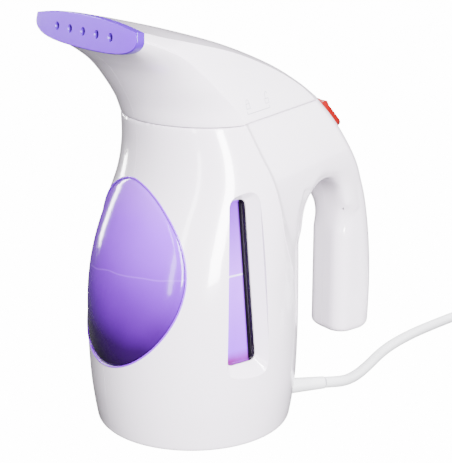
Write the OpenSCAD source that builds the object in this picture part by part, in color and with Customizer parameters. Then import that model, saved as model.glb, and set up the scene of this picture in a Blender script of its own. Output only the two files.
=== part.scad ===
// Hand-held garment steamer. A water tank with a heater under it stands inside a casing of two halves
// with a free-ended handle behind. The head twists and lifts off the neck, which is how it is filled.
// Millimetres, Z up. The nozzle looks to -Y, the handle is at +Y, the origin is the centre of the base.

/* [Casing] */
// Height of the body, from the base up to the seam under the head
body_h = 159; // [150:1:192]
// Radius of the body at its widest
body_r = 54; // [52:1:66]
// Wall of the casing and of the head
wall = 2.4; // [1.8:0.1:3]
// Rounding of the casing's lower edge
foot_edge = 1.8; // [1:0.1:2.2]
// Height of the step where the front of the casing stands proud of its flanks
flank_step = 0.8; // [0.4:0.1:1.2]
// Thickness of the base plate
base_t = 2.4; // [1.8:0.1:3.2]

/* [Handle] */
// From the body's axis to the back of the handle
handle_reach = 117; // [114:1:141]
// Depth of the handle, from its inner face to its back
handle_depth = 30; // [26:1:34]
// Width of the handle
handle_w = 28; // [24:1:34]
// Height of the handle's free end above the floor
handle_z = 25; // [20:1:40]
// Height of the top of the finger gap
arch_z = 118; // [100:1:120]

/* [Neck] */
// Radius of the neck's bore, which the head plugs into
neck_r = 21; // [17.5:0.5:21.5]
// How far the head twists to unlock, in degrees
twist = 25; // [15:1:40]
// Gap at the seam between the body and the head
seam_gap = 0.4; // [0.3:0.1:0.8]

/* [Head] */
// Height of the head, from the seam to the top edge of the nozzle
head_h = 51.6; // [46:0.2:62]
// From the body's axis forward to the back of the nozzle plate
nozzle_reach = 56.2; // [52:0.1:67]
// Width of the nozzle
nozzle_w = 92; // [80:1:110]
// Thickness of the nozzle plate
plate_t = 4; // [3:0.1:5]
// Diameter of each steam hole
hole_d = 3.1; // [2:0.1:4]
// Distance between steam holes
hole_gap = 12.1; // [9:0.1:14]
// Number of steam holes
hole_count = 5; // [3:1:6]

/* [Windows] */
// Half width of the front window
drop_w = 40.5; // [32:0.5:42]
// Height of the front window's lower tip
drop_z0 = 39.3; // [36:0.1:50]
// Height of the front window's upper tip
drop_z1 = 131; // [118:1:132]
// Depth of the side windows' recess
recess = 6; // [4:0.5:7]
// Thickness of a window
pane_t = 1.6; // [1.2:0.1:2]

/* [Tank] */
// Height of the tank's lower flange
tank_z = 38.5; // [35.5:0.5:38.5]
// Wall of the tank
tank_wall = 1.8; // [1.2:0.1:2.4]
// Gap between the tank and the casing
tank_gap = 2.6; // [1.6:0.1:4]
// Thickness of the aluminium heater plate
heater_t = 4; // [3:0.5:6]
// Outside radius of the steam tube
steam_r = 7; // [5:0.5:8]

/* [Switch] */
// Length of the switch's bezel
bezel_l = 21; // [20:0.5:25]
// Width of the switch's bezel
bezel_w = 13; // [12:0.5:15.5]
// How far the rocker tips between its two states, in degrees
rocker_tip = 16; // [10:1:20]

/* [Cord] */
// Diameter of the cord
cord_d = 6; // [5:0.1:6.2]
// Height of the cord's exit above the floor
exit_z = 7.5; // [7:0.1:12]

/* [Hidden] */

white = [0.93, 0.92, 0.95];
violet = [0.6, 0.42, 0.95, 0.75];
fit = 0.15;   // gap round a piece that is fixed in another
run = 0.06;   // radial gap round a piece that turns or slides
air = 0.3;    // gap between pieces that pass each other
far = 400;    // longer than the object

// ---- curves -------------------------------------------------------------------------------------

function bezier(a, b, c, d, t) =
  pow(1 - t, 3) * a + 3 * pow(1 - t, 2) * t * b + 3 * (1 - t) * t * t * c + pow(t, 3) * d;

// A curve from p to r that turns through an angle, where the lines along its two ends meet at q.
function quarter(p, q, r, turn, n) =
  let (k = 4 / 3 * tan(turn / 4) / tan(turn / 2))
  [for (i = [0:n]) bezier(p, p + k * (q - p), r + k * (q - r), r, i / n)];

// A smooth curve through the rows of a table, read at t. Each row starts with its own t.
function slope(tab, i) =
  let (a = max(i - 1, 0), b = min(i + 1, len(tab) - 1)) (tab[b] - tab[a]) / (tab[b][0] - tab[a][0]);
function span(tab, t, i = 0) = i >= len(tab) - 2 || t < tab[i + 1][0] ? i : span(tab, t, i + 1);
function through(tab, t) =
  let (i = span(tab, t), h = tab[i + 1][0] - tab[i][0], s = (t - tab[i][0]) / h)
  bezier(tab[i], tab[i] + slope(tab, i) * h / 3, tab[i + 1] - slope(tab, i + 1) * h / 3, tab[i + 1], s);

function ramp(z, low, high) = let (s = min(max((z - low) / (high - low), 0), 1)) s * s * (3 - 2 * s);
function lift(ring, z) = [for (p = ring) [p[0], p[1], z]];

// A closed ring from its half on the +X side: mirrored to the other side, or where over is given, closed by
// a straight line that lies so far past X = 0. Points on X = 0 aren't repeated.
function whole(half) =
  concat(half, [for (i = [len(half) - 1:-1:0]) if (half[i][0] > 0.001) [-half[i][0], half[i][1]]]);
function closed(half, over) = is_undef(over) ? whole(half) :
  let (a = [-over, half[0][1]], b = [-over, half[len(half) - 1][1]])
  concat(norm(half[0] - a) > 0.001 ? [a] : [], half, norm(half[len(half) - 1] - b) > 0.001 ? [b] : []);

// A polygon with rounded corners, n pieces to a corner.
function rounded(corners, r, n = 4) =
  let (m = len(corners))
  [for (i = [0:m - 1])
    let (c = corners[i], a = corners[(i + m - 1) % m] - c, b = corners[(i + 1) % m] - c,
      p = c + a / norm(a) * r, q = c + b / norm(b) * r)
    for (j = [0:n]) let (t = j / n) pow(1 - t, 2) * p + 2 * (1 - t) * t * c + t * t * q];

// A closed solid through rings of equally many points, which run anticlockwise seen from its far end.
module loft(rings) {
  n = len(rings[0]);
  top = (len(rings) - 1) * n;
  sides = [for (j = [0:len(rings) - 2], i = [0:n - 1])
    let (a = j * n + i, b = j * n + (i + 1) % n) each [[a, a + n, b + n], [a, b + n, b]]];
  polyhedron([for (r = rings) each r],
    concat([[for (i = [0:n - 1]) i]], [[for (i = [n - 1:-1:0]) top + i]], sides));
}

// A tube along points, smoothed through them with k rings to a span. ref is across the route.
function along(pts, k) =
  let (rows = [for (i = [0:len(pts) - 1]) concat([i], pts[i])])
  [for (j = [0:(len(pts) - 1) * k]) let (v = through(rows, j / k)) [v[1], v[2], v[3]]];
module tube(pts, d, k = 2, sides = 8, ref = [0, 0, 1]) {
  line = along(pts, k);
  last = len(line) - 1;
  loft([for (j = [0:last])
    let (t = line[min(j + 1, last)] - line[max(j - 1, 0)], u = cross(t, ref), a = u / norm(u),
      v = cross(a, t), b = v / norm(v))
    [for (i = [0:sides - 1]) line[j] + d / 2 * (cos(360 * i / sides) * a - sin(360 * i / sides) * b)]]);
}

module pipe(r_out, r_in, z0, z1) {
  rotate_extrude($fn = 64) translate([r_in, z0]) square([r_out - r_in, z1 - z0]);
}

// ---- the casing's form --------------------------------------------------------------------------

// Body sections, as shares of body_h and then of body_r: height, front, side line's half width, side
// line's place, back, and the lean of the curve in degrees before and behind the side line.
BODY = [[0, 0.926, 0.841, 0.389, 0.926, 25, 25], [0.063, 0.956, 0.87, 0.398, 0.956, 24.5, 24.5],
  [0.157, 0.985, 0.9, 0.407, 0.985, 24.4, 24.4], [0.314, 1, 0.911, 0.413, 1, 24.3, 24.3],
  [0.472, 0.974, 0.911, 0.407, 1, 23, 24], [0.597, 0.9, 0.922, 0.38, 1, 18, 26],
  [0.723, 0.763, 0.919, 0.333, 1, 12, 42], [0.824, 0.635, 0.893, 0.259, 0.8, 6, 45],
  [0.912, 0.587, 0.839, 0.148, 0.6, 2, 45], [1, 0.598, 0.769, 0.046, 0.5, 0, 45]];
// The handle's back line, as shares of body_h and handle_reach
BACK = [[0.1, 0.99], [0.3, 1], [0.45, 0.991], [0.6, 0.962], [0.72, 0.918], [0.79, 0.875],
  [0.88, 0.795], [0.94, 0.729], [1, 0.65]];

function row_at(z) = through(BODY, min(max(z / body_h, 0), 1));
function front(z) = row_at(z)[1] * body_r;
function side_x(z) = row_at(z)[2] * body_r;
function side_y(z) = row_at(z)[3] * body_r;
function back_y(z) = through(BACK, min(max(z / body_h, 0.1), 1))[1] * handle_reach;

handle_in = handle_reach - handle_depth;
sink = 0.3;                           // how far the gap's straight sides lie inside body and handle
gap_y = body_r - sink;
gap_r = (handle_in + sink - gap_y) / 2;  // radius of the finger gap's arch
arch_c = arch_z - gap_r;              // height of the arch's centre
blend = gap_r;                        // height over which the handle passes into the shoulder

function body_half(z, inset) =
  let (r = row_at(z), f = r[1] * body_r - inset, w = r[2] * body_r - inset, y = r[3] * body_r,
    b = r[4] * body_r - inset)
  concat(quarter([0, -f], [w + (y + f) * tan(r[5]), -f], [w, y], 90 + r[5], 8),
    [for (p = quarter([w, y], [w - (b - y) * tan(r[6]), b], [0, b], 90 - r[6], 6)) if (p[1] > y) p]);

function edge_inset(z, r) = z < r ? r - sqrt(max(r * r - pow(r - z, 2), 0)) : 0;

module vase(inset, over) {
  zs = concat(inset > 0 ? [-1] : [0, foot_edge / 3],
    [for (i = [0:18]) foot_edge + (body_h - foot_edge) * i / 18]);
  loft([for (z = zs) lift(closed(body_half(z, inset + (inset > 0 ? 0 : edge_inset(z, foot_edge))),
    over), z)]);
}

// The flat flanks between the round body and the handle's back, above the finger gap
function flank_half(z, inset) =
  let (tuck = 0.4 * (1 - ramp(z, arch_z - blend, arch_z + 6)), r = handle_w / 2 - inset - tuck,
    p = [side_x(z) - flank_step - inset, side_y(z) - 2], c = [0, back_y(z) - handle_w / 2], d = c - p,
    dir = atan2(d[1], d[0]) - asin(r / norm(d)))
  concat([p], [for (i = [0:5]) let (a = dir - 90 + (180 - dir) * i / 5) c + r * [cos(a), sin(a)]]);
module shoulder(inset, over) {
  z0 = arch_c - 4;
  loft([for (i = [0:10]) let (z = z0 + (body_h - z0) * i / 10) lift(closed(flank_half(z, inset), over), z)]);
}

// The web that fades the flanks into the round body below the finger gap's arch
module web(over) {
  z0 = body_h * 0.38;
  z1 = arch_c + 2;
  loft([for (i = [0:6])
    let (z = z0 + (z1 - z0) * i / 6, x = side_x(z) - flank_step,
      reach = (body_r - side_y(z)) / (handle_in - side_y(z)),
      tip = (x - reach * (x - handle_w / 2)) * ramp(z, z0, z1) - 0.2)
    lift(closed([[x - 0.2, side_y(z) - 2], [max(tip, 0.5), body_r]], over), z)]);
}

function handle_half(z, inset) =
  let (w = handle_w / 2 - inset, y0 = handle_in + inset, y1 = back_y(z) - handle_w / 2,
    c = min(8, max(y1 - y0, 1)))
  concat([for (i = [0:4]) let (a = -90 + 90 * i / 4) [w - c + c * cos(a), y0 + c + c * sin(a)]],
    [for (i = [1:5]) let (a = 90 * i / 5) [w * cos(a), y1 + w * sin(a)]]);
module handle(inset, shorten, over) {
  z0 = handle_z + inset;
  z1 = arch_z + 6 + shorten;
  zs = concat([z0, z0 + 1, z0 + 4], [for (i = [1:12]) z0 + 4 + (z1 - z0 - 4) * i / 12]);
  loft([for (z = zs)
    let (e = inset > 0 ? 0 : edge_inset(z - z0, 4), t = 0.5 * ramp(z, arch_z - blend, z1))
    lift(closed(handle_half(z, inset + e + t), over), z)]);
}

module finger_gap(grow) {
  rotate([90, 0, 90]) linear_extrude(far, center = true) {
    translate([gap_y - grow, -10]) square([2 * gap_r + 2 * grow, arch_c + 10]);
    translate([gap_y + gap_r, arch_c]) circle(gap_r + grow, $fn = 48);
  }
}

// The right half of the casing, solid, and the space inside it, which runs a little past the middle plane
module casing_form() {
  vase(0, 0);
  handle(0, 0, 0);
  difference() {
    union() {
      shoulder(0, 0);
      web(0);
    }
    finger_gap(0);
  }
}
module casing_cavity() {
  vase(wall, 1);
  difference() {
    shoulder(wall, 1);
    finger_gap(wall);
  }
}

// ---- windows ------------------------------------------------------------------------------------

// The front window's outline is an egg that comes to a soft point at the top.
drop_c = drop_z0 + (drop_z1 - drop_z0) * 0.488;
function drop(grow) = [for (i = [0:39])
  let (a = 360 * i / 40, up = sin(a) > 0, tall = (up ? drop_z1 - drop_c : drop_c - drop_z0) + grow)
  [sign(cos(a)) * (drop_w + grow) * pow(abs(cos(a)), up ? 1.15 : 1), drop_c + tall * sin(a)]];
module drop_prism(grow) {
  rotate([90, 0, 0]) linear_extrude(far / 2) polygon(drop(grow));
}

// A side window's recess has its own leaning frame: its depth runs in from a plane through two places
// on the casing's side.
slot_low = 37;      // lower end of the recess
slot_high = body_h * 0.82;
lean = atan((side_far(50) - side_far(122)) / 72);
function side_far(z) = max([for (p = body_half(z, 0)) if (p[1] < side_y(z)) p[0]]) - 0.4;
function slot_outer(g) = rounded([[-17.3 - g, slot_low - g], [8.6 + g, slot_low - g],
  [5 + g, slot_high + g], [-12 - g, slot_high + g]], 7);
function slot_inner(g) = rounded([[-13.5 - g, slot_low + 7 - g], [4.2 + g, slot_low + 7 - g],
  [1 + g, slot_high - 5 + g], [-8.5 - g, slot_high - 5 + g]], 4);
module at_slot() {
  translate([side_far(50), 0, 50]) rotate([0, -lean, 0]) translate([0, 0, -50]) children();
}
function stand(outline, x) = [for (p = outline) [x, p[0], p[1]]];
module slot_recess(grow) {
  at_slot() loft([stand(slot_inner(grow), -recess - grow), stand(slot_outer(grow), 0),
    stand(slot_outer(grow), 12)]);
}
module slot_opening(grow, x0, x1) {
  at_slot() loft([stand(slot_inner(grow), x0), stand(slot_inner(grow), x1)]);
}
module side_window() {
  color(violet) {
    slot_opening(-fit, -recess - wall, -recess - 0.2);
    slot_opening(1.6, -recess - wall - pane_t, -recess - wall);
  }
}
module side_window_right() side_window();
module side_window_left() mirror([1, 0, 0]) side_window();

module front_window() {
  color(violet) intersection() {
    drop_prism(-fit);
    difference() {
      vase(0);
      vase(wall);
    }
  }
}

// ---- the casing's two halves --------------------------------------------------------------------

boss_at = front(0) - wall - 2.8;
boss_r = 3.6;
screw_r = 1.4;
// Four places at 45 degrees to the axes, and the two of them on the right
function corners(r) = [for (a = [45:90:315]) r * [cos(a), sin(a)]];
function right_corners(r) = [for (p = corners(r)) if (p[0] > 0) p];

module casing_right() {
  difference() {
    union() {
      difference() {
        casing_form();
        slot_recess(0);
        difference() {
          intersection() {
            casing_cavity();
            translate([-far / 2, -far / 2, -2]) cube([far, far, body_h - wall + 2]);
          }
          slot_recess(wall);
        }
        handle(wall + 1, -4, 1);
      }
      for (p = right_corners(boss_at)) translate([p[0], p[1], base_t]) cylinder(r = boss_r, h = 12, $fn = 24);
    }
    for (p = right_corners(boss_at)) translate([p[0], p[1], 0]) cylinder(r = screw_r + run, h = 13, $fn = 24);
    translate([0, 0, body_h - wall - 1]) cylinder(r = collar_r + fit, h = wall + 2, $fn = 64);
    for (p = right_corners(collar_screw_at)) translate([p[0], p[1], body_h]) deck_screw(run);
    drop_prism(0);
    slot_opening(0, -recess - wall - 1, 0);
    at_switch() bezel_outline(fit, 30);
  }
}
module body_shell_right() {
  color(white) difference() {
    casing_right();
    at_exit() cylinder(r = relief_r + fit, h = far, $fn = 32);
  }
}
module body_shell_left() color(white) mirror([1, 0, 0]) casing_right();

module base_plate() {
  color(white) difference() {
    union() {
      cylinder(r = front(0) - wall - fit, h = base_t, $fn = 96);
      for (p = corners(post_at)) translate([p[0], p[1], 0]) cylinder(r = 3, h = plate_z, $fn = 24);
    }
    for (p = corners(boss_at)) translate([p[0], p[1], 0]) {
      translate([0, 0, -1]) cylinder(r = screw_r + fit, h = base_t + 2, $fn = 24);
      translate([0, 0, -1]) cylinder(r = 2 * screw_r + fit, h = 1 + base_t - 0.8, $fn = 24);
    }
  }
}
module base_screws() {
  color("silver") for (p = corners(boss_at)) translate([p[0], p[1], 0]) {
    translate([0, 0, 0.1]) cylinder(r = 2 * screw_r, h = base_t - 0.9, $fn = 24);
    translate([0, 0, base_t - 0.8]) cylinder(r = screw_r, h = 10, $fn = 24);
  }
}

// ---- the tank and the heater ----------------------------------------------------------------------

flange_r = body_r - wall - 6.6;
flange_t = 2.5;
tank_foot = flange_r - 6;              // tank's radius where it stands on its flange
gasket_t = 1.6;
plate_z = tank_z - gasket_t - heater_t; // underside of the heater plate
post_at = flange_r - 9;
neck_out = neck_r + 1;
neck_top = body_h - 9.4;               // the tank's neck ends just under the head's plug
collar_z = body_h - 14;
function pane_x(z) = side_far(50) - tan(lean) * (z - 50) - recess - wall - pane_t;
function tank_out(z) = min(front(z) - wall - tank_gap, pane_x(z) - 1);

module water_tank() {
  lo = tank_z + flange_t;
  hi = body_h - 26;
  zs = [for (i = [1:12]) lo + 6 + (hi - lo - 6) * i / 12];
  outer = concat([[flange_r, tank_z], [flange_r, lo], [tank_foot, lo]], [for (z = zs) [tank_out(z), z]],
    [[neck_out, collar_z - 1], [neck_out, neck_top]]);
  inner = concat([[neck_out - tank_wall, neck_top], [neck_out - tank_wall, collar_z - 1]],
    [for (i = [len(zs) - 1:-1:0]) [tank_out(zs[i]) - tank_wall, zs[i]]],
    [[tank_foot - tank_wall, lo], [tank_foot - tank_wall, tank_z]]);
  color(violet) difference() {
    rotate_extrude($fn = 72) polygon(concat(outer, inner));
    ring_of_six(flange_r - 2.8) translate([0, 0, tank_z - 1]) cylinder(r = 1.5 + fit, h = 5, $fn = 24);
  }
}
module ring_of_six(r) for (a = [30:60:330]) rotate([0, 0, a]) translate([r, 0, 0]) children();

module tank_gasket() {
  color([0.85, 0.85, 0.85]) pipe(flange_r - 5, flange_r - 11, tank_z - gasket_t, tank_z);
}
module heater_plate() {
  color([0.75, 0.76, 0.78]) difference() {
    translate([0, 0, plate_z]) cylinder(r = flange_r, h = heater_t, $fn = 72);
    ring_of_six(flange_r - 2.8) translate([0, 0, plate_z - 1])
      cylinder(r = 1.5 + run, h = heater_t + 2, $fn = 24);
  }
}
module heater_screws() {
  color("silver") ring_of_six(flange_r - 2.8) {
    translate([0, 0, tank_z + flange_t]) cylinder(r = 2.6, h = 1.8, $fn = 24);
    translate([0, 0, plate_z]) cylinder(r = 1.5, h = tank_z + flange_t - plate_z, $fn = 24);
  }
}

element_r = 26;
element_d = 6.4;
element_z = plate_z - element_d / 2 - 0.1;
module heating_element() {
  color([0.45, 0.45, 0.47]) {
    difference() {
      translate([0, 0, element_z]) rotate_extrude($fn = 64)
        translate([element_r, 0]) circle(element_d / 2, $fn = 24);
      translate([-6, -40, 0]) cube([12, 40, 60]);
    }
    for (x = [-9, 9]) translate([x, -sqrt(pow(element_r, 2) - 81), element_z - 9])
      cylinder(r = 1.5, h = 9, $fn = 24);
  }
}
module boiler_hood() {
  z0 = tank_z - gasket_t;
  color([0.3, 0.3, 0.34]) difference() {
    rotate_extrude($fn = 64) polygon([[28.5, z0], [30, z0], [30, z0 + 14], [24, z0 + 20],
      [steam_r + fit, z0 + 20],
      [steam_r + fit, z0 + 18.5], [23.3, z0 + 18.5], [28.5, z0 + 13.4]]);
    for (a = [0:60:120]) rotate([0, 0, a]) translate([-40, -2, z0 - 1]) cube([80, 4, 4]);
  }
}
steam_top = body_h - 21;
module steam_tube() {
  color([0.9, 0.9, 0.95, 0.8]) {
    pipe(steam_r, steam_r - 1.5, tank_z + 10, steam_top);
    pipe(steam_r + 2, steam_r, tank_z - gasket_t + 20, tank_z - gasket_t + 21.5);
  }
}
module thermostat() {
  color([0.8, 0.78, 0.7]) {
    translate([0, 0, plate_z - 6]) cylinder(r = 8, h = 6, $fn = 48);
    for (x = [-4, 4]) translate([x - 0.4, -2.4, plate_z - 13]) cube([0.8, 4.8, 7]);
  }
}
module thermal_fuse() {
  color([0.85, 0.83, 0.75]) translate([0, 15, plate_z - 2.1]) rotate([0, 90, 0]) {
    cylinder(r = 2, h = 12, center = true, $fn = 24);
    cylinder(r = 0.6, h = 22, center = true, $fn = 24);
  }
}
module terminal_block() {
  color([0.92, 0.9, 0.82]) translate([-31, -9, base_t]) difference() {
    cube([12, 24, 10]);
    for (y = [5, 12, 19]) translate([6, y, 4]) cylinder(r = 1.8, h = 7, $fn = 24);
  }
}
module heater_leads() {
  drop_y = -sqrt(pow(element_r, 2) - 81);
  color("firebrick") for (s = [-1, 1])
    tube([[9 * s, drop_y, element_z - 9], [9 * s, drop_y + 1, element_z - 13], [7 * s - 3, drop_y + 8, 13],
      [3 * s - 9, -8, 9], [-15, 2 * s + 1, 7], [-18.9, 4 * s + 3, 7]], 2, 2, 6, [1, 0.01, 0.1]);
}
module switch_leads() {
  back = body_r - wall - 3.4;
  s = [0, back_y(switch_z), switch_z];
  color("royalblue") for (i = [-1, 1])
    tube([s + [4.5 * i, -17.6, -14.2], s + [4.5 * i, -20, -17], [4 * i, body_r + 4, arch_z + 8],
      [4 * i, back, arch_z - 4],
      [4 * i, back, arch_c - 20], [4 * i, back - 0.5, tank_z + 10], [4 * i, back - 1, plate_z],
      [4 * i - 1, back - 9, 14], [2 * i - 12, 26, 9], [-25, 18 + 2 * i, 8],
        [-25, 15.1, 8 - i]], 2, 2, 6, [1, 0, 0]);
}

// ---- the neck ---------------------------------------------------------------------------------------

collar_r = neck_r + 3;
flange2_r = collar_r + 5.2;
collar_screw_at = collar_r + 2.8;
lug_z = body_h - 2.6;    // underside of the locking lugs
lug_w = 18;              // width of a lug, in degrees
module sector(r, a0, a1, z0, h) {
  translate([0, 0, z0]) linear_extrude(h)
    polygon(concat([[0, 0]], [for (i = [0:6]) let (a = a0 + (a1 - a0) * i / 6) r * [cos(a), sin(a)]]));
}
module deck_screw(grow) {
  translate([0, 0, -1.6 - grow]) cylinder(r = 2.1 + grow, h = 2, $fn = 24);
  translate([0, 0, -8]) cylinder(r = 1.1 + grow, h = 7, $fn = 24);
}
module neck_collar() {
  top = body_h - wall;
  color([0.86, 0.86, 0.9]) difference() {
    union() {
      pipe(collar_r, neck_r, collar_z, body_h);
      pipe(flange2_r, neck_r + 1, top - 5, top);
    }
    translate([0, 0, collar_z - 1]) cylinder(r = neck_out + fit, h = neck_top + air - collar_z + 1, $fn = 64);
    for (a = [90, 210, 330]) intersection() {
      translate([0, 0, lug_z - air]) cylinder(r = neck_r + 1.5, h = 10, $fn = 64);
      sector(2 * neck_r, a - lug_w / 2 - 1, a + lug_w / 2 + twist + 1, lug_z - air, 10);
    }
    for (p = corners(collar_screw_at)) translate([p[0], p[1], body_h]) deck_screw(run);
  }
}
module collar_screws() {
  color("silver") for (p = corners(collar_screw_at)) translate([p[0], p[1], body_h]) intersection() {
    deck_screw(0);
    translate([-5, -5, -10]) cube([10, 10, 9.8]);
  }
}

plug_r = neck_r - air;
plug_in = neck_r - 3.5;
plug_z = body_h - 9;
groove_r = plug_r - 1.5;
floor_z = body_h + seam_gap;
module neck_seal() {
  color([0.75, 0.75, 0.78]) pipe(neck_r - run, groove_r + run, plug_z + 2, plug_z + 5);
}
module head_plug() {
  color(white) difference() {
    union() {
      pipe(plug_r, plug_in, plug_z, floor_z + wall + 2.4);
      pipe(collar_r + 4.4, plug_in, floor_z + wall, floor_z + wall + 2.4);
      for (a = [90, 210, 330]) intersection() {
        pipe(neck_r + 1.1, plug_in, lug_z, lug_z + 2.2);
        sector(2 * neck_r, a - lug_w / 2, a + lug_w / 2, lug_z, 2.2);
      }
    }
    pipe(neck_r + 5, groove_r, plug_z + 2 - run, plug_z + 5 + run);
    for (p = corners(collar_screw_at)) translate([p[0], p[1], floor_z])
      cylinder(r = 1.1 + run, h = 10, $fn = 24);
  }
}
module head_screws() {
  color("silver") for (p = corners(collar_screw_at)) translate([p[0], p[1], floor_z]) {
    translate([0, 0, 0.2]) cylinder(r = 2.1, h = 1.4, $fn = 24);
    cylinder(r = 1.1, h = wall + 2.2, $fn = 24);
  }
}
module splash_baffle() {
  color([0.9, 0.9, 0.92]) translate([0, 0, plug_z + 1]) difference() {
    cylinder(r = plug_in - 0.02, h = 1.5, $fn = 64);
    for (a = [0:60:300]) rotate([0, 0, a])
      translate([plug_in * 0.6, 0, -1]) cylinder(r = 2.2, h = 4, $fn = 24);
  }
}

// ---- the head -----------------------------------------------------------------------------------------

// Head sections fan from the seam to the nozzle. Shares of the way from the seam to the nozzle: front
// point forward and up, back point forward and up. Then the side line's place along the section and
// its half width, and the same for the crease above it, as shares of the section and of nozzle_w / 2.
HEAD = [[1, 0.126, 0.174, 0.111, 0.194, 0.33, 0.87, 0.93, 0.348],
  [2, 0.343, 0.368, 0.269, 0.417, 0.325, 0.87, 0.9, 0.478],
  [3, 0.531, 0.5, 0.492, 0.651, 0.375, 0.88, 0.86, 0.652],
  [4, 0.728, 0.591, 0.722, 0.829, 0.48, 0.913, 0.8, 0.804],
  [5, 0.887, 0.655, 0.891, 0.938, 0.6, 0.957, 0.74, 0.913], [6, 1, 0.698, 1, 1, 0.68, 1, 0.71, 0.989]];
nozzle_tilt = 2;      // how far the nozzle's upper edge stands back behind its lower edge
seam_f = front(body_h);
seam_b = back_y(body_h);
HEAD_ALL = concat([[0, 0, 0, 0, 0, (side_y(body_h) + seam_f) / (seam_b + seam_f),
  side_x(body_h) / nozzle_w * 2,
  0.93, handle_w / nozzle_w * 0.93]], HEAD);

function head_row(u) =
  let (r = through(HEAD_ALL, u))
  [[-seam_f - (nozzle_reach - seam_f) * r[1], floor_z + (head_h - seam_gap) * r[2]],
    [seam_b - (nozzle_reach - nozzle_tilt + seam_b) * r[3], floor_z + (head_h - seam_gap) * r[4]],
    r[5], r[6] * nozzle_w / 2, r[7], r[8] * nozzle_w / 2];
// Half of a head section in its own plane: across, and along from its front point
function head_half(u, inset) =
  let (r = head_row(u), l = norm(r[1] - r[0]), b = u / 6, gx = r[3] - inset, g = r[2] * l, kx = r[5] - inset,
    k = min(r[4] * l, l - inset - 0.6), blunt = 0.552 * (1 - b) + 0.9 * b)
  concat([for (i = [0:8]) bezier([0, inset], [0.552 * gx, inset], [gx, g - blunt * (g - inset)],
    [gx, g], i / 8)],
    [for (i = [1:3]) [gx, g] + ([kx, k] - [gx, g]) * i / 3],
    [for (i = [1:4])
      bezier([kx, k], [kx * 0.7, k + (l - inset - k) * 0.62], [kx * 0.45, l - inset],
        [0, l - inset], i / 4)]);
function head_ring(u, inset, over, ahead = 0) =
  let (r = head_row(u), d = (r[1] - r[0]) / norm(r[1] - r[0]), n = [-d[1], d[0]])
  [for (p = closed(head_half(u, inset), over))
    [p[0], r[0][0] + p[1] * d[0] + ahead * n[0], r[0][1] + p[1] * d[1] + ahead * n[1]]];

// The right half of the head, solid, or the space inside it
module head_form(inset, over) {
  loft(concat([for (i = [0:16]) head_ring(6 * i / 16, inset, over)], inset > 0 ? [head_ring(6, inset,
    over, 2)] : []));
}
module head_right() {
  difference() {
    head_form(0, 0);
    intersection() {
      head_form(wall, 1);
      translate([-far / 2, -far / 2, floor_z + wall]) cube([far, far, far]);
    }
    translate([0, 0, floor_z - 1]) cylinder(r = plug_r + fit, h = wall + 2, $fn = 64);
    for (p = right_corners(collar_screw_at)) translate([p[0], p[1], floor_z]) {
      translate([0, 0, -1]) cylinder(r = 1.1 + fit, h = wall + 2, $fn = 24);
      translate([0, 0, -1]) cylinder(r = 2.1 + fit, h = 2.6, $fn = 24);
    }
  }
}
module head_shell_right() color(white) head_right();
module head_shell_left() color(white) mirror([1, 0, 0]) head_right();

nozzle_at = head_row(6);
nozzle_len = norm(nozzle_at[1] - nozzle_at[0]);
nozzle_a = atan2(nozzle_at[1][1] - nozzle_at[0][1], nozzle_at[1][0] - nozzle_at[0][0]);
module at_nozzle() {
  translate([0, nozzle_at[0][0], nozzle_at[0][1]]) rotate([nozzle_a, 0, 0]) children();
}
module steam_holes() {
  for (i = [0:hole_count - 1]) translate([(i - (hole_count - 1) / 2) * hole_gap, nozzle_len / 2, -20])
    cylinder(d = hole_d, h = 40, $fn = 24);
}
module nozzle_plate() {
  color(violet) at_nozzle() difference() {
    union() {
      linear_extrude(plate_t) polygon(whole(head_half(6, 0)));
      translate([0, 0, -3]) linear_extrude(3.5) polygon(whole(head_half(6, wall + 0.35)));
    }
    steam_holes();
  }
}
module nozzle_gasket() {
  color([0.75, 0.75, 0.78]) at_nozzle() translate([0, nozzle_len / 2, -4.2])
    linear_extrude(1.2) difference() {
    scale([duct_end_x / duct_end_y, 1]) circle(duct_end_y, $fn = 48);
    scale([(duct_end_x - 2) / (duct_end_y - 1.4), 1]) circle(duct_end_y - 1.4, $fn = 48);
  }
}

duct_end_x = nozzle_w * 0.34;
duct_end_y = nozzle_len * 0.24;
duct_z = floor_z + wall + 2.4;
// The duct's path: how far on, tilt in degrees, half width and half height
DUCT = [[0, 0, plug_in + 2, plug_in + 2], [0.16, 6, plug_in + 2, plug_in + 1], [0.34, 26, 22, 13.5],
  [0.52, 48, 25, 8.8], [0.7, 66, 28, 6.4], [0.86, 76, 30, 5], [1, nozzle_a, duct_end_x, duct_end_y]];
duct_to = [nozzle_at[0][0] + cos(nozzle_a) * nozzle_len / 2 + 4.2 * sin(nozzle_a),
  nozzle_at[0][1] + sin(nozzle_a) * nozzle_len / 2 - 4.2 * cos(nozzle_a)];
module duct_form(inset, more) {
  loft([for (i = [0:14])
    let (t = i / 14, r = through(DUCT, t), rise = (duct_to[1] - duct_z),
      c = bezier([0, duct_z], [0, duct_z + rise * 0.62], [duct_to[0] * 0.5, duct_to[1] - 7], duct_to, t),
      over = t == 0 ? -more : t == 1 ? more : 0)
    [for (j = [0:19]) let (a = 360 * j / 20, x = (r[2] - inset) * sin(a), y = -(r[3] - inset) * cos(a))
      [x, c[0] + y * cos(r[1]) - over * sin(r[1]), c[1] + y * sin(r[1]) + over * cos(r[1])]]]);
}
module steam_duct() {
  color([0.9, 0.9, 0.92]) difference() {
    duct_form(0, 0);
    duct_form(1.4, 1);
  }
}

// ---- the switch -----------------------------------------------------------------------------------------

switch_z = body_h * 0.934;
switch_a = atan2(1, (back_y(switch_z - 4) - back_y(switch_z + 4)) / 8);
pivot_z = -1.5;
rocker_l = bezel_l - 5.8;
rocker_w = bezel_w - 5;
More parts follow.
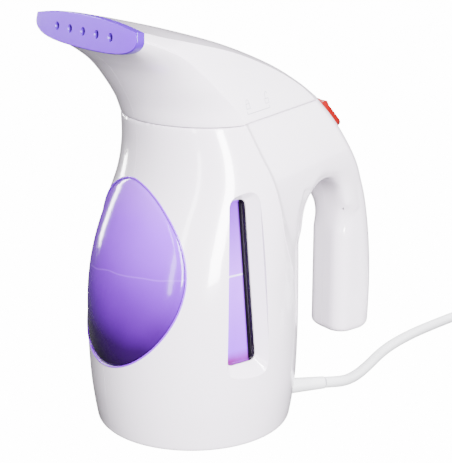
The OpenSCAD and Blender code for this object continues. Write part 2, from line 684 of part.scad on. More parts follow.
// The switch's own frame: Z out of the handle's back, Y down along it
module at_switch() {
  translate([0, back_y(switch_z), switch_z]) rotate([-switch_a, 0, 0]) children();
}
module capsule(l, w, h) {
  linear_extrude(h) {
    square([w, l - w], center = true);
    for (s = [-1, 1]) translate([0, s * (l - w) / 2]) circle(w / 2, $fn = 48);
  }
}
module bezel_outline(grow, h) {
  translate([0, 0, -h / 2]) capsule(bezel_l + 2 * grow, bezel_w + 2 * grow, h);
}
module switch_bezel() {
  color(white) at_switch() difference() {
    translate([0, 0, -4.6]) capsule(bezel_l, bezel_w, 6);
    translate([-(rocker_w + 0.8) / 2, -(rocker_l + 2) / 2, -20]) cube([rocker_w + 0.8, rocker_l + 2, 40]);
  }
}
module switch_housing() {
  color([0.15, 0.15, 0.16]) at_switch() difference() {
    translate([-bezel_w / 2 + 0.8, -bezel_l / 2 + 0.8, -16]) cube([bezel_w - 1.6, bezel_l - 1.6, 11.4]);
    translate([-(rocker_w + 0.8) / 2, -(rocker_l + 2) / 2, -14.4]) cube([rocker_w + 0.8, rocker_l + 2, 20]);
    for (x = [-4.5, 4.5]) translate([x - 0.5, -2.5, -20]) cube([1, 5, 10]);
  }
}
module switch_terminals() {
  color([0.8, 0.65, 0.3]) at_switch() for (x = [-4.5, 4.5])
    translate([x - 0.4, -2.4, -23]) cube([0.8, 4.8, 11]);
}
module switch_pin() {
  color("silver") at_switch() translate([0, 0, pivot_z]) rotate([0, 90, 0])
    cylinder(r = 0.8, h = rocker_w + 0.8, center = true, $fn = 24);
}
// The rocker's two faces meet in a shallow V. At rest its upper end stands out.
module switch_rocker() {
  l = rocker_l / 2;
  color([0.85, 0.1, 0.12]) at_switch() translate([0, 0, pivot_z])
    rotate([-rocker_tip / 2, 0, 0]) difference() {
    rotate([90, 0, 90]) linear_extrude(rocker_w, center = true)
      polygon([[-l, -1.2], [-l, 3.7], [0, 2.9], [l, 3.7], [l, -1.2], [2, -3.6], [-2, -3.6]]);
    rotate([0, 90, 0]) cylinder(r = 0.8 + run, h = 40, center = true, $fn = 24);
  }
}

// ---- the cord -------------------------------------------------------------------------------------------

relief_r = 4.2;
relief_tip = 72;                 // the strain relief ends this far from the body's axis
relief_flange_t = 2.2;           // thickness of the flange inside the casing
relief_in = sqrt(pow(front(exit_z) - wall, 2) - 49) - 0.6;  // how far out the flange's outer face lies
exit_a = 22;                     // angle of the cord's exit from straight back, towards +X
// The exit's own frame: Z runs out along the cord
module at_exit() {
  translate([0, 0, exit_z]) rotate([0, 0, -exit_a]) rotate([-90, 0, 0]) children();
}
module strain_relief() {
  color(white) at_exit() {
    rotate_extrude($fn = 48) polygon([[0, relief_in - relief_flange_t],
      [relief_r, relief_in - relief_flange_t], [relief_r, front(exit_z) + 1],
      [cord_d / 2 + 0.3, relief_tip], [0, relief_tip]]);
    intersection() {
      translate([0, 0, relief_in - relief_flange_t]) cylinder(r = 6.6, h = 2, $fn = 48);
      translate([-10, -20, 0]) cube([20, 20 + exit_z - base_t - 0.3, far]);
    }
  }
}
module cord_lead() {
  color(white) at_exit() translate([0, 0, 27])
    cylinder(d = cord_d, h = relief_in - relief_flange_t - 27, $fn = 32);
}
module cord_clamp() {
  color([0.3, 0.3, 0.32]) at_exit() difference() {
    translate([-9, -cord_d / 2 - 3, 32]) cube([18, cord_d / 2 + 3 + exit_z - base_t, 7]);
    translate([0, 0, 30]) cylinder(d = cord_d + 0.1, h = 12, $fn = 32);
    translate([-cord_d / 2 - 0.05, 0, 30]) cube([cord_d + 0.1, 20, 12]);
    for (x = [-6.2, 6.2]) translate([x, 20, 35.5]) rotate([90, 0, 0])
      cylinder(r = 1.2 + run, h = 40, $fn = 24);
  }
}
module clamp_screws() {
  color("silver") at_exit() for (x = [-6.2, 6.2]) translate([x, -cord_d / 2 - 3, 35.5]) rotate([-90, 0, 0]) {
    cylinder(r = 1.2, h = cord_d / 2 + 2.9 + exit_z - base_t, $fn = 24);
    translate([0, 0, -1.4]) cylinder(r = 2.3, h = 1.4, $fn = 24);
  }
}

// The cord's route from the strain relief's tip to the coil
ROUTE = [[27, 66.8, 7.5], [28, 73, 6.6], [27.4, 80, 5.2], [25.2, 87, 4], [22, 95, 3.2], [18, 104, 3],
  [13.6, 113, 3],
  [9, 122, 3], [4.5, 132, 3], [0.5, 143, 3], [-2.8, 155, 3], [-5.4, 167, 3], [-7.4, 180, 3], [-8.8, 193, 3.2],
  [-9.5, 206, 3.6], [-9.6, 219, 4], [-9.6, 232, 4.1]];
coil_at = [33, 232];
coil_gap = 6.2;           // distance between turns
coil_in = 24;             // radius of the innermost turn
coil_z = 4.1;             // height of the lowest turns
tie_t = 1;
coil_r0 = coil_in - cord_d / 2;
coil_r1 = coil_in + 3 * coil_gap + cord_d / 2;
coil_top = coil_z + coil_gap + cord_d / 2;
// From the coil's last turn down to the plug
END = [[75.6, 232, 10.3], [75.6, 222, 10.2], [75.7, 212, 9], [76.4, 202, 6.8], [77.8, 191, 6], [80, 180, 7]];

module power_cord() color(white) tube(ROUTE, cord_d);
module cord_coil() {
  color(white) translate([coil_at[0], coil_at[1], tie_t + 0.05]) rotate_extrude($fn = 48)
    translate([coil_r0, 0]) square([coil_r1 - coil_r0, coil_top - tie_t - 0.05]);
}
module cord_end() color(white) tube(END, cord_d);
module cord_tie() {
  w = coil_r1 - coil_r0 + 0.2;
  color([0.2, 0.2, 0.22]) translate([coil_at[0] - 4, coil_at[1] + coil_r0 - 0.1, 0]) difference() {
    translate([0, -tie_t, 0]) cube([8, w + 2 * tie_t + 0.4, coil_top + tie_t + 0.1]);
    translate([-1, 0, tie_t]) cube([10, w + 0.4, coil_top + 0.1 - tie_t]);
  }
}

plug_y = 180;
plug_x = 80;
plug_h = 14;
module plug_body() {
  color(white) translate([plug_x, plug_y, plug_h / 2]) rotate([90, 0, 0]) {
    translate([0, 0, 0]) cylinder(r1 = cord_d / 2 + 0.4, r2 = 5, h = 14, $fn = 32);
    translate([0, 0, 14]) linear_extrude(24) polygon(rounded([[-11, -7], [11, -7], [11, 7], [-11, 7]], 4.5));
  }
}
module plug_pins() {
  color([0.8, 0.7, 0.4]) for (s = [-1, 1])
    translate([plug_x + 6.35 * s - 0.75, plug_y - 38 - 17, plug_h / 2 - 3.2])
    cube([1.5, 17, 6.4]);
}

body_shell_right();
body_shell_left();
base_plate();
base_screws();
front_window();
side_window_right();
side_window_left();
water_tank();
tank_gasket();
heater_plate();
heater_screws();
heating_element();
boiler_hood();
steam_tube();
thermostat();
thermal_fuse();
terminal_block();
heater_leads();
switch_leads();
neck_collar();
collar_screws();
neck_seal();
head_plug();
head_screws();
splash_baffle();
steam_duct();
head_shell_right();
head_shell_left();
nozzle_gasket();
nozzle_plate();
switch_bezel();
switch_housing();
switch_terminals();
switch_pin();
switch_rocker();
strain_relief();
cord_lead();
cord_clamp();
clamp_screws();
power_cord();
cord_coil();
cord_end();
cord_tie();
plug_body();
plug_pins();
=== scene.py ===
import math

import bpy
import numpy as np
from mathutils import Matrix, Vector


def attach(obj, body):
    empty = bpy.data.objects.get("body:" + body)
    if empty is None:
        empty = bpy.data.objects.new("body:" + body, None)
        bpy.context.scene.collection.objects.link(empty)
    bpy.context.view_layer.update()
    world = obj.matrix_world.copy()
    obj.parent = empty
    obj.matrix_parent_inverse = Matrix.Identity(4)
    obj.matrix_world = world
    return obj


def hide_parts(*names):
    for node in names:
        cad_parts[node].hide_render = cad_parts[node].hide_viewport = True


bl_info = {
    "name": "Garment Steamer",
    "version": (1, 0, 0),
    "blender": (4, 5, 0),
    "location": "View3D > Sidebar > Steamer",
    "description": "Builds the looks of a hand-held garment steamer around its frame",
    "category": "Object",
}

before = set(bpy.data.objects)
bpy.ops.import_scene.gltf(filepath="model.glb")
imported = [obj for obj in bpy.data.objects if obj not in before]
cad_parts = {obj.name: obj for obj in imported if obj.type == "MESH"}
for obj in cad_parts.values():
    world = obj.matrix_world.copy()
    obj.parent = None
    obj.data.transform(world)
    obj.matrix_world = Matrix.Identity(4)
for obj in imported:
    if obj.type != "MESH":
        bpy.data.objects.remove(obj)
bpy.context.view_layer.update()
MM = 0.001          # the section tables below are in millimetres

# ---- sizes that the frame and the looks share, in millimetres ------------------------------------------

BODY_H = 159.0
BODY_R = 54.0
FOOT_EDGE = 1.8
HANDLE_REACH = 117.0
HANDLE_IN = 87.0
HANDLE_W = 28.0
HANDLE_Z = 25.0
ARCH_Z = 118.0
SINK = 0.3
GAP_Y = BODY_R - SINK
GAP_R = (HANDLE_IN + SINK - GAP_Y) / 2
ARCH_C = ARCH_Z - GAP_R
NECK_R = 21.0
COLLAR_R = NECK_R + 3
SEAM_GAP = 0.4
FLOOR_Z = BODY_H + SEAM_GAP
HEAD_H = 51.6
NOZZLE_REACH = 56.2
NOZZLE_W = 92.0
NOZZLE_TILT = 2.0
FLARE = 15.0
DROP_W, DROP_Z0, DROP_Z1 = 40.5, 39.3, 131.0
DROP_C = DROP_Z0 + (DROP_Z1 - DROP_Z0) * 0.488
RECESS = 6.0
SLOT_LOW, SLOT_HIGH = 37.0, BODY_H * 0.82
SWITCH_Z = BODY_H * 0.934

# Body sections, as shares of the height and then of the radius: height, front, side line's half width,
# side line's place, back, and the lean of the curve in degrees before and behind the side line.
BODY = np.array([
    [0, 0.926, 0.841, 0.389, 0.926, 25, 25], [0.063, 0.956, 0.87, 0.398, 0.956, 24.5, 24.5],
    [0.157, 0.985, 0.9, 0.407, 0.985, 24.4, 24.4], [0.314, 1, 0.911, 0.413, 1, 24.3, 24.3],
    [0.472, 0.974, 0.911, 0.407, 1, 23, 24], [0.597, 0.9, 0.922, 0.38, 1, 18, 26],
    [0.723, 0.763, 0.919, 0.333, 1, 12, 42], [0.824, 0.635, 0.893, 0.259, 0.8, 6, 45],
    [0.912, 0.587, 0.839, 0.148, 0.6, 2, 45], [1, 0.598, 0.769, 0.046, 0.5, 0, 45]])
# The handle's back line, as shares of the height and of the handle's reach
BACK = np.array([
    [0.1, 0.99], [0.3, 1], [0.45, 0.991], [0.6, 0.962], [0.72, 0.918], [0.79, 0.875],
    [0.88, 0.795], [0.94, 0.729], [1, 0.65]])
# Head sections, from the seam to the nozzle: front point forward and up, back point forward and up,
# the side line's place and half width, and the same for the crease above it.
HEAD = [
    [1, 0.126, 0.174, 0.111, 0.194, 0.33, 0.87, 0.93, 0.348],
    [2, 0.343, 0.368, 0.269, 0.417, 0.325, 0.87, 0.9, 0.478],
    [3, 0.531, 0.5, 0.492, 0.651, 0.375, 0.88, 0.86, 0.652],
    [4, 0.728, 0.591, 0.722, 0.829, 0.48, 0.913, 0.8, 0.804],
    [5, 0.887, 0.655, 0.891, 0.938, 0.53, 0.957, 0.77, 0.92],
    [6, 1, 0.698, 1, 1, 0.56, 1, 0.79, 0.985]]


# ---- curves --------------------------------------------------------------------------------------------

def bezier(a, b, c, d, t):
    return (1 - t) ** 3 * a + 3 * (1 - t) ** 2 * t * b + 3 * (1 - t) * t * t * c + t ** 3 * d


def curve(a, b, c, d, count):
    """Points along a Bezier curve, both ends included."""
    t = np.linspace(0, 1, count)[:, None]
    return bezier(*(np.asarray(p, float) for p in (a, b, c, d)), t)


def quarter(p, q, r, turn, count):
    """A curve from p to r that turns through an angle, where the lines along its ends meet at q."""
    p, q, r = (np.asarray(v, float) for v in (p, q, r))
    k = 4 / 3 * math.tan(turn / 4) / math.tan(turn / 2)
    return curve(p, p + k * (q - p), r + k * (q - r), r, count)


def slope(rows, i):
    a, b = max(i - 1, 0), min(i + 1, len(rows) - 1)
    return (rows[b] - rows[a]) / (rows[b][0] - rows[a][0])


def through(rows, t):
    """A smooth curve through the rows of a table, read at t. Each row starts with its own t."""
    i = int(np.clip(np.searchsorted(rows[:, 0], t, side="right") - 1, 0, len(rows) - 2))
    h = rows[i + 1][0] - rows[i][0]
    return bezier(rows[i], rows[i] + slope(rows, i) * h / 3,
                  rows[i + 1] - slope(rows, i + 1) * h / 3, rows[i + 1], (t - rows[i][0]) / h)


def ramp(value, low, high):
    s = np.clip((np.asarray(value, float) - low) / (high - low), 0, 1)
    return s * s * (3 - 2 * s)


def whole(half):
    """A closed ring from its half on the +X side. Points on X = 0 aren't repeated."""
    other = half[::-1][half[::-1][:, 0] > 0.001]
    return np.vstack([half, other * [-1, 1]])


def rounded(corners, radius, count=8):
    """A polygon with rounded corners."""
    corners = [np.array(c, float) for c in corners]
    points = []
    for i, c in enumerate(corners):
        a, b = corners[i - 1] - c, corners[(i + 1) % len(corners)] - c
        p, q = c + a / np.linalg.norm(a) * radius, c + b / np.linalg.norm(b) * radius
        for t in np.linspace(0, 1, count):
            points.append((1 - t) ** 2 * p + 2 * (1 - t) * t * c + t * t * q)
    return np.array(points)


# ---- sections of the casing and the head ---------------------------------------------------------------

def row_at(z):
    return through(BODY, min(max(z / BODY_H, 0), 1))


def side_x(z):
    return row_at(z)[2] * BODY_R


def side_y(z):
    return row_at(z)[3] * BODY_R


def back_y(z):
    return through(BACK, min(max(z / BODY_H, 0.1), 1))[1] * HANDLE_REACH


def edge_inset(z, radius):
    return radius - math.sqrt(max(radius * radius - (radius - z) ** 2, 0)) if z < radius else 0.0


def body_half(z, inset=0.0, front_count=40, back_count=28):
    """Half of a body section: out from the front, round the side line and in to the back."""
    _, f, w, y, b, lean_f, lean_b = row_at(z)
    f, w, y, b = f * BODY_R - inset, w * BODY_R - inset, y * BODY_R, b * BODY_R - inset
    lean_f, lean_b = math.radians(lean_f), math.radians(lean_b)
    front = quarter([0, -f], [w + (y + f) * math.tan(lean_f), -f], [w, y], math.pi / 2 + lean_f, front_count)
    back = quarter([w, y], [w - (b - y) * math.tan(lean_b), b], [0, b], math.pi / 2 - lean_b, back_count)
    return np.vstack([front, back[back[:, 1] > y]])


def flank_half(z, inset, step, count=14):
    """Half of the flat-sided section above the finger gap, from behind the side line to the back."""
    tuck = 0.4 * (1 - float(ramp(z, ARCH_Z - GAP_R, ARCH_Z + 6)))
    r = HANDLE_W / 2 - inset - tuck
    p = np.array([side_x(z) - step - inset, side_y(z) - 2])
    c = np.array([0, back_y(z) - HANDLE_W / 2])
    d = c - p
    turn = math.atan2(d[1], d[0]) - math.asin(r / np.linalg.norm(d)) - math.pi / 2
    angles = np.linspace(turn, math.pi / 2, count)
    return np.vstack([p, c + r * np.stack([np.cos(angles), np.sin(angles)], 1)])


def handle_half(z, inset, count=10):
    w, y0, y1 = HANDLE_W / 2 - inset, HANDLE_IN + inset, back_y(z) - HANDLE_W / 2
    c = min(8, max(y1 - y0, 1))
    a = np.linspace(-math.pi / 2, 0, count)
    b = np.linspace(0, math.pi / 2, count)[1:]
    return np.vstack([[0, y0], np.stack([w - c + c * np.cos(a), y0 + c + c * np.sin(a)], 1),
                      np.stack([w * np.cos(b), y1 + w * np.sin(b)], 1)])


def head_row(u):
    seam_f, seam_b = row_at(BODY_H)[1] * BODY_R, back_y(BODY_H)
    seam = [0, 0, 0, 0, 0, (side_y(BODY_H) + seam_f) / (seam_b + seam_f), side_x(BODY_H) / NOZZLE_W * 2,
            0.93, HANDLE_W / NOZZLE_W * 0.93]
    r = through(np.array([seam] + HEAD), u)
    up = HEAD_H - SEAM_GAP
    front = np.array([-seam_f - (NOZZLE_REACH - seam_f) * r[1], FLOOR_Z + up * r[2]])
    back = np.array([seam_b - (NOZZLE_REACH - NOZZLE_TILT + seam_b) * r[3], FLOOR_Z + up * r[4]])
    return front, back, r[5], r[6] * NOZZLE_W / 2, r[7], r[8] * NOZZLE_W / 2


def head_half(u, inset, step=0.0):
    """Half of a head section in its own plane: across, and along from its front point."""
    front, back, g, gx, k, kx = head_row(u)
    length = np.linalg.norm(back - front)
    b = u / 6
    g, gx, kx = g * length, gx - inset, kx - inset
    k = min(k * length, length - inset - 0.6)
    blunt = 0.552 * (1 - b) + 0.9 * b
    side, crease = np.array([gx, g]), np.array([kx, k])
    along = (crease - side) / np.linalg.norm(crease - side)
    first = side + along * 0.5 - [step, 0]
    t = np.linspace(0, 1, 16)[:, None]
    return np.vstack([
        curve([0, inset], [0.552 * gx, inset], [gx, g - blunt * (g - inset)], side, 36),
        first + (crease - first) * t,
        curve(crease, [kx * 0.7, k + (length - inset - k) * 0.62], [kx * 0.45, length - inset],
              [0, length - inset], 18)[1:]])


def head_ring(u, inset=0.0, step=0.0, ahead=0.0):
    front, back = head_row(u)[:2]
    d = (back - front) / np.linalg.norm(back - front)
    n = np.array([-d[1], d[0]])
    half = whole(head_half(u, inset, step))
    return np.column_stack([half[:, 0], front + half[:, 1:] * d + ahead * n])


def lifted(half, z):
    ring = whole(half)
    return np.column_stack([ring, np.full(len(ring), z)])


# ---- making and joining meshes -------------------------------------------------------------------------

def select_only(obj):
    for other in bpy.context.selected_objects:
        other.select_set(False)
    obj.select_set(True)
    bpy.context.view_layer.objects.active = obj


def new_mesh(name, points, faces):
    """An object from points in millimetres."""
    mesh = bpy.data.meshes.new(name)
    mesh.from_pydata((np.asarray(points, float) * MM).tolist(), [], faces)
    mesh.validate()
    obj = bpy.data.objects.new(name, mesh)
    bpy.context.scene.collection.objects.link(obj)
    select_only(obj)
    return obj


def recalculate(obj):
    select_only(obj)
    bpy.ops.object.mode_set(mode="EDIT")
    bpy.ops.mesh.select_all(action="SELECT")
    bpy.ops.mesh.normals_make_consistent(inside=False)
    bpy.ops.object.mode_set(mode="OBJECT")
    return obj


def loft(name, rings):
    """A closed solid through rings of equally many points."""
    n = len(rings[0])
    faces = [list(range(n))[::-1], list(range((len(rings) - 1) * n, len(rings) * n))]
    for j in range(len(rings) - 1):
        for i in range(n):
            a, b = j * n + i, j * n + (i + 1) % n
            faces.append([a, b, b + n, a + n])
    return recalculate(new_mesh(name, np.vstack(rings), faces))


def prism(name, outline, low, high, place):
    """A solid from an outline, drawn out between two depths. place puts (outline point, depth) in space."""
    return loft(name, [np.array([place(p, depth) for p in outline]) for depth in (low, high)])


def combine(obj, tool, operation):
    """Joins, cuts or trims obj with tool, which is used up."""
    select_only(obj)
    modifier = obj.modifiers.new("combine", "BOOLEAN")
    modifier.operation = operation
    modifier.solver = "MANIFOLD"
    modifier.object = tool
    bpy.ops.object.modifier_apply(modifier=modifier.name)
    bpy.data.objects.remove(tool)
    if not obj.data.polygons:
        raise RuntimeError(f"{obj.name} has no faces left after {operation}")
    return obj


def copied(obj, name):
    other = obj.copy()
    other.data = obj.data.copy()
    other.name = other.data.name = name
    bpy.context.scene.collection.objects.link(other)
    return other


def apply_modifier(obj, kind, **settings):
    select_only(obj)
    modifier = obj.modifiers.new(kind.lower(), kind)
    for key, value in settings.items():
        setattr(modifier, key, value)
    bpy.ops.object.modifier_apply(modifier=modifier.name)


def points_of(obj):
    co = np.zeros(len(obj.data.vertices) * 3)
    obj.data.vertices.foreach_get("co", co)
    return co.reshape(-1, 3)


def relax(obj, weights, repeats, pull=0.5):
    """Moves each point towards the average of its neighbours, by its weight."""
    co = points_of(obj)
    edges = np.zeros(len(obj.data.edges) * 2, int)
    obj.data.edges.foreach_get("vertices", edges)
    a, b = edges.reshape(-1, 2).T
    n = len(co)
    count = np.bincount(a, minlength=n) + np.bincount(b, minlength=n)
    for _ in range(repeats):
        total = np.column_stack([np.bincount(a, co[b, i], n) + np.bincount(b, co[a, i], n) for i in range(3)])
        co += pull * weights[:, None] * (total / count[:, None] - co)
    obj.data.vertices.foreach_set("co", co.ravel())
    obj.data.update()


def smooth_shaded(obj, degrees=32):
    select_only(obj)
    bpy.ops.object.shade_smooth_by_angle(angle=math.radians(degrees))


def finished(obj, body, material, replaced=(), degrees=32):
    """Shades a piece, gives it its material and fixes it to its body."""
    obj.data.materials.clear()
    obj.data.materials.append(material)
    smooth_shaded(obj, degrees)
    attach(obj, body)
    if replaced:
        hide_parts(*replaced)
    return obj


def cylinder_tool(radius, low, high, matrix=Matrix.Identity(4), sides=96):
    """A cylinder along Z for cutting, in millimetres."""
    for other in bpy.context.selected_objects:
        other.select_set(False)
    bpy.ops.mesh.primitive_cylinder_add(vertices=sides, radius=radius * MM, depth=(high - low) * MM,
                                        location=(0, 0, (low + high) / 2 * MM))
    obj = bpy.context.active_object
    obj.data.transform(matrix @ obj.matrix_world)
    obj.matrix_world = Matrix.Identity(4)
    return obj


def box_tool(low, high, matrix=Matrix.Identity(4)):
    """A box for cutting, in millimetres."""
    low, high = Vector(low) * MM, Vector(high) * MM
    for other in bpy.context.selected_objects:
        other.select_set(False)
    bpy.ops.mesh.primitive_cube_add(size=1, location=(low + high) / 2, scale=high - low)
    obj = bpy.context.active_object
    obj.data.transform(matrix @ obj.matrix_world)
    obj.matrix_world = Matrix.Identity(4)
    return obj


def tube_along(name, line, radius, sides=10):
    """A closed tube along points in millimetres."""
    line = np.asarray(line, float)
    steps = np.gradient(line, axis=0)
    steps /= np.linalg.norm(steps, axis=1)[:, None]
    across = np.cross(steps, [0.31, 0.52, 0.8])
    across /= np.linalg.norm(across, axis=1)[:, None]
    other = np.cross(steps, across)
    angles = np.linspace(0, 2 * math.pi, sides, endpoint=False)
    rings = [p + radius * (np.outer(np.cos(angles), u) + np.outer(np.sin(angles), v))
             for p, u, v in zip(line, across, other)]
    return loft(name, rings)


# ---- materials -----------------------------------------------------------------------------------------

class Nodes:
    """A material's node tree, built a node at a time."""

    def __init__(self, name):
        self.material = bpy.data.materials.new(name)
        self.material.use_nodes = True
        self.tree = self.material.node_tree
        self.shader = self.tree.nodes["Principled BSDF"]
        self.place = self.tree.nodes.new("ShaderNodeTexCoord").outputs["Object"]

    def add(self, kind, **settings):
        node = self.tree.nodes.new(kind)
        for key, value in settings.items():
            setattr(node, key, value)
        return node

    def link(self, a, b):
        self.tree.links.new(a, b)

    def noise(self, scale, detail=3.0, rough=0.5):
        node = self.add("ShaderNodeTexNoise")
        self.link(self.place, node.inputs["Vector"])
        node.inputs["Scale"].default_value = scale
        node.inputs["Detail"].default_value = detail
        node.inputs["Roughness"].default_value = rough
        return node.outputs["Fac"]

    def spread(self, value, low, high, low_in=0.3, high_in=0.7):
        node = self.add("ShaderNodeMapRange")
        self.link(value, node.inputs["Value"])
        for key, number in zip(("From Min", "From Max", "To Min", "To Max"), (low_in, high_in, low, high)):
            node.inputs[key].default_value = number
        return node.outputs["Result"]

    def ramp(self, value, stops):
        node = self.add("ShaderNodeValToRGB")
        self.link(value, node.inputs["Fac"])
        ends = node.color_ramp.elements
        while len(ends) < len(stops):
            ends.new(0.5)
        for end, (place, colour) in zip(ends, stops):
            end.position = place
            end.color = (*colour[:3], 1)
        return node.outputs["Color"]

    def mix(self, share, a, b, kind="MIX"):
        node = self.add("ShaderNodeMix", data_type="RGBA", blend_type=kind)
        for socket, value in ((node.inputs[0], share), (node.inputs[6], a), (node.inputs[7], b)):
            if hasattr(value, "is_linked"):
                self.link(value, socket)
            else:
                socket.default_value = value if isinstance(value, float) else (*value[:3], 1)
        return node.outputs[2]

    def bump(self, height, strength, distance):
        node = self.add("ShaderNodeBump")
        self.link(height, node.inputs["Height"])
        node.inputs["Strength"].default_value = strength
        node.inputs["Distance"].default_value = distance
        self.link(node.outputs["Normal"], self.shader.inputs["Normal"])

    def axis(self, which):
        node = self.add("ShaderNodeSeparateXYZ")
        self.link(self.place, node.inputs["Vector"])
        return node.outputs[which]

    def set(self, **values):
        for key, value in values.items():
            socket = self.shader.inputs[key.replace("_", " ")]
            if hasattr(value, "is_linked"):
                self.link(value, socket)
            else:
                socket.default_value = (*value[:3], 1) if hasattr(value, "__len__") and key.endswith("Color") \
                    else value
        return self


def moulded(name, colour, rough=0.3, coat=0.0, peel=0.03, tone=0.02, shine=0.5):
    """Moulded plastic: a faint unevenness in its gloss, its colour and its surface."""
    nodes = Nodes(name)
    cloud = nodes.noise(38, 2)
    dark = tuple(c * (1 - tone) for c in colour[:3])
    nodes.set(Base_Color=nodes.mix(nodes.spread(cloud, 0, 1), dark, colour),
              Roughness=nodes.spread(nodes.noise(95, 4), rough * 0.85, rough * 1.15),
              Coat_Weight=coat, Coat_Roughness=0.04, Specular_IOR_Level=shine)
    nodes.bump(nodes.noise(900, 2), peel, 0.0002)
    return nodes.material


def metal(name, colour, rough=0.3, grain=(1, 1, 40)):
    """Metal with a fine drawn or cast grain."""
    nodes = Nodes(name)
    mapping = nodes.add("ShaderNodeMapping")
    nodes.link(nodes.place, mapping.inputs["Vector"])
    mapping.inputs["Scale"].default_value = grain
    streaks = nodes.add("ShaderNodeTexNoise")
    nodes.link(mapping.outputs["Vector"], streaks.inputs["Vector"])
    streaks.inputs["Scale"].default_value = 60
    fac = streaks.outputs["Fac"]
    nodes.set(Base_Color=nodes.mix(nodes.spread(fac, 0, 1), tuple(c * 0.85 for c in colour), colour),
              Roughness=nodes.spread(fac, rough * 0.8, rough * 1.3), Metallic=1.0)
    nodes.bump(fac, 0.05, 0.0002)
    return nodes.material


def violet_lens(name, colours):
    """Transparent violet plastic in front of the filled tank, coloured with painted shade: pale at the top and nearly
    black at the bottom, with a painted highlight along the waterline.
    """
    nodes = Nodes(name)
    z = nodes.axis("Z")
    wave = nodes.spread(nodes.noise(22, 2), -0.004, 0.004)
    height = nodes.add("ShaderNodeMath", operation="ADD")
    nodes.link(z, height.inputs[0])
    nodes.link(wave, height.inputs[1])
    # Painted shade: the window's colour runs from nearly black at its bottom to pale violet at its top.
    share = nodes.spread(height.outputs[0], 0, 1, DROP_Z0 * MM, DROP_Z1 * MM)
    body = nodes.ramp(share, [(0.0, colours.violet_dark), (0.16, colours.violet_deep), (0.42, colours.violet),
                              (0.78, colours.violet_light), (1.0, colours.violet_pale)])
    # Painted highlight: a pale band along the waterline.
    waterline_glint = nodes.ramp(nodes.spread(height.outputs[0], 0, 1, 0.084, 0.092),
                       [(0.0, (0, 0, 0)), (0.42, (0, 0, 0)), (0.5, (0.35, 0.35, 0.35)), (0.58, (0, 0, 0))])
    nodes.set(Base_Color=nodes.mix(waterline_glint, body, colours.violet_pale),
              Roughness=nodes.spread(nodes.noise(70, 3), 0.12, 0.18), IOR=1.45, Specular_IOR_Level=0.3,
              Coat_Weight=0.25, Coat_Roughness=0.03)
    return nodes.material


def violet_side_pane(name, colours):
    """The side windows: pale, with the casing's shadow painted along the rear edge, painted shade making the foot
    dark and the top darker, and a painted highlight along the waterline.
    """
    nodes = Nodes(name)
    y, z = nodes.axis("Y"), nodes.axis("Z")
    slope_z = nodes.add("ShaderNodeMath", operation="MULTIPLY_ADD")
    nodes.link(z, slope_z.inputs[0])
    slope_z.inputs[1].default_value = 3.2 / 81
    nodes.link(y, slope_z.inputs[2])
    # Painted shadow of the casing along the pane's rear edge.
    rear = nodes.spread(slope_z.outputs[0], 0, 1, 0.0012, 0.0022)
    # Painted shade: dark at the foot, palest at the waterline and darker again towards the top.
    body = nodes.ramp(nodes.spread(z, 0, 1, 0.04, 0.126),
                      [(0.0, colours.violet_deep), (0.07, colours.violet_foot), (0.12, colours.violet_light),
                       (0.55, colours.violet_pale), (1.0, colours.violet)])
    # Painted highlight: a pale line along the waterline.
    waterline_glint = nodes.ramp(nodes.spread(z, 0, 1, 0.084, 0.092),
                       [(0.0, (0, 0, 0)), (0.42, (0, 0, 0)), (0.5, (1, 1, 1)), (0.58, (0, 0, 0))])
    lit = nodes.mix(waterline_glint, nodes.mix(nodes.spread(nodes.noise(60, 2), 0, 0.3), body, colours.violet_light),
                    (0.8, 0.75, 0.95))
    nodes.set(Base_Color=nodes.mix(rear, lit, colours.violet_dark),
              Roughness=nodes.spread(nodes.noise(70, 3), 0.12, 0.18), IOR=1.45, Specular_IOR_Level=0.3,
              Coat_Weight=0.3, Coat_Roughness=0.03)
    return nodes.material


def make_materials():
    c = bpy.context.scene.steamer_colours
    made = {
        "shell": moulded("white_shell", c.shell, 0.2, 0.7, 0.02, 0.012),
        "lens": violet_lens("violet_lens", c),
        "pane": violet_side_pane("violet_pane", c),
        "rim": moulded("violet_rim", c.violet_light, 0.15, 0.6),
        "nozzle": moulded("violet_nozzle_face", c.nozzle, 0.45, 0.0, 0.03, 0.05, 0.12),
        # Painted shade: the plate's edges get a darker copy of the face's violet.
        "nozzle_edge_shade": moulded("violet_nozzle_edge_shade", c.nozzle_edge_shade, 0.3, 0.1, 0.03, 0.05, 0.3),
        "rocker": moulded("red_rocker", c.rocker, 0.2, 0.6),
        "cord": moulded("white_cord", c.cord, 0.42, 0.0, 0.06),
        "grey": moulded("grey_plastic", (0.78, 0.77, 0.82), 0.4),
        "clear": moulded("natural_plastic", (0.86, 0.86, 0.9), 0.35),
        "dark": moulded("dark_plastic", (0.03, 0.03, 0.035), 0.5),
        "ivory": moulded("ivory_plastic", (0.85, 0.81, 0.68), 0.5),
        "silicone": moulded("silicone", (0.7, 0.7, 0.73), 0.6),
        "red_lead": moulded("red_lead", (0.5, 0.03, 0.02), 0.5),
        "blue_lead": moulded("blue_lead", (0.03, 0.08, 0.45), 0.5),
        "tie": moulded("black_tie", (0.02, 0.02, 0.022), 0.8, 0.0, 0.6),
        "mark": moulded("grey_mark", c.mark, 0.45),
        "steel": metal("steel", (0.62, 0.63, 0.65), 0.28),
        "aluminium": metal("aluminium", (0.72, 0.73, 0.75), 0.35, (30, 30, 1)),
        "brass": metal("brass", (0.78, 0.6, 0.28), 0.25),
    }
    return made


MATERIALS = {}


def material(name):
    if not MATERIALS:
        MATERIALS.update(make_materials())
    return MATERIALS[name]


# ---- settings ------------------------------------------------------------------------------------------

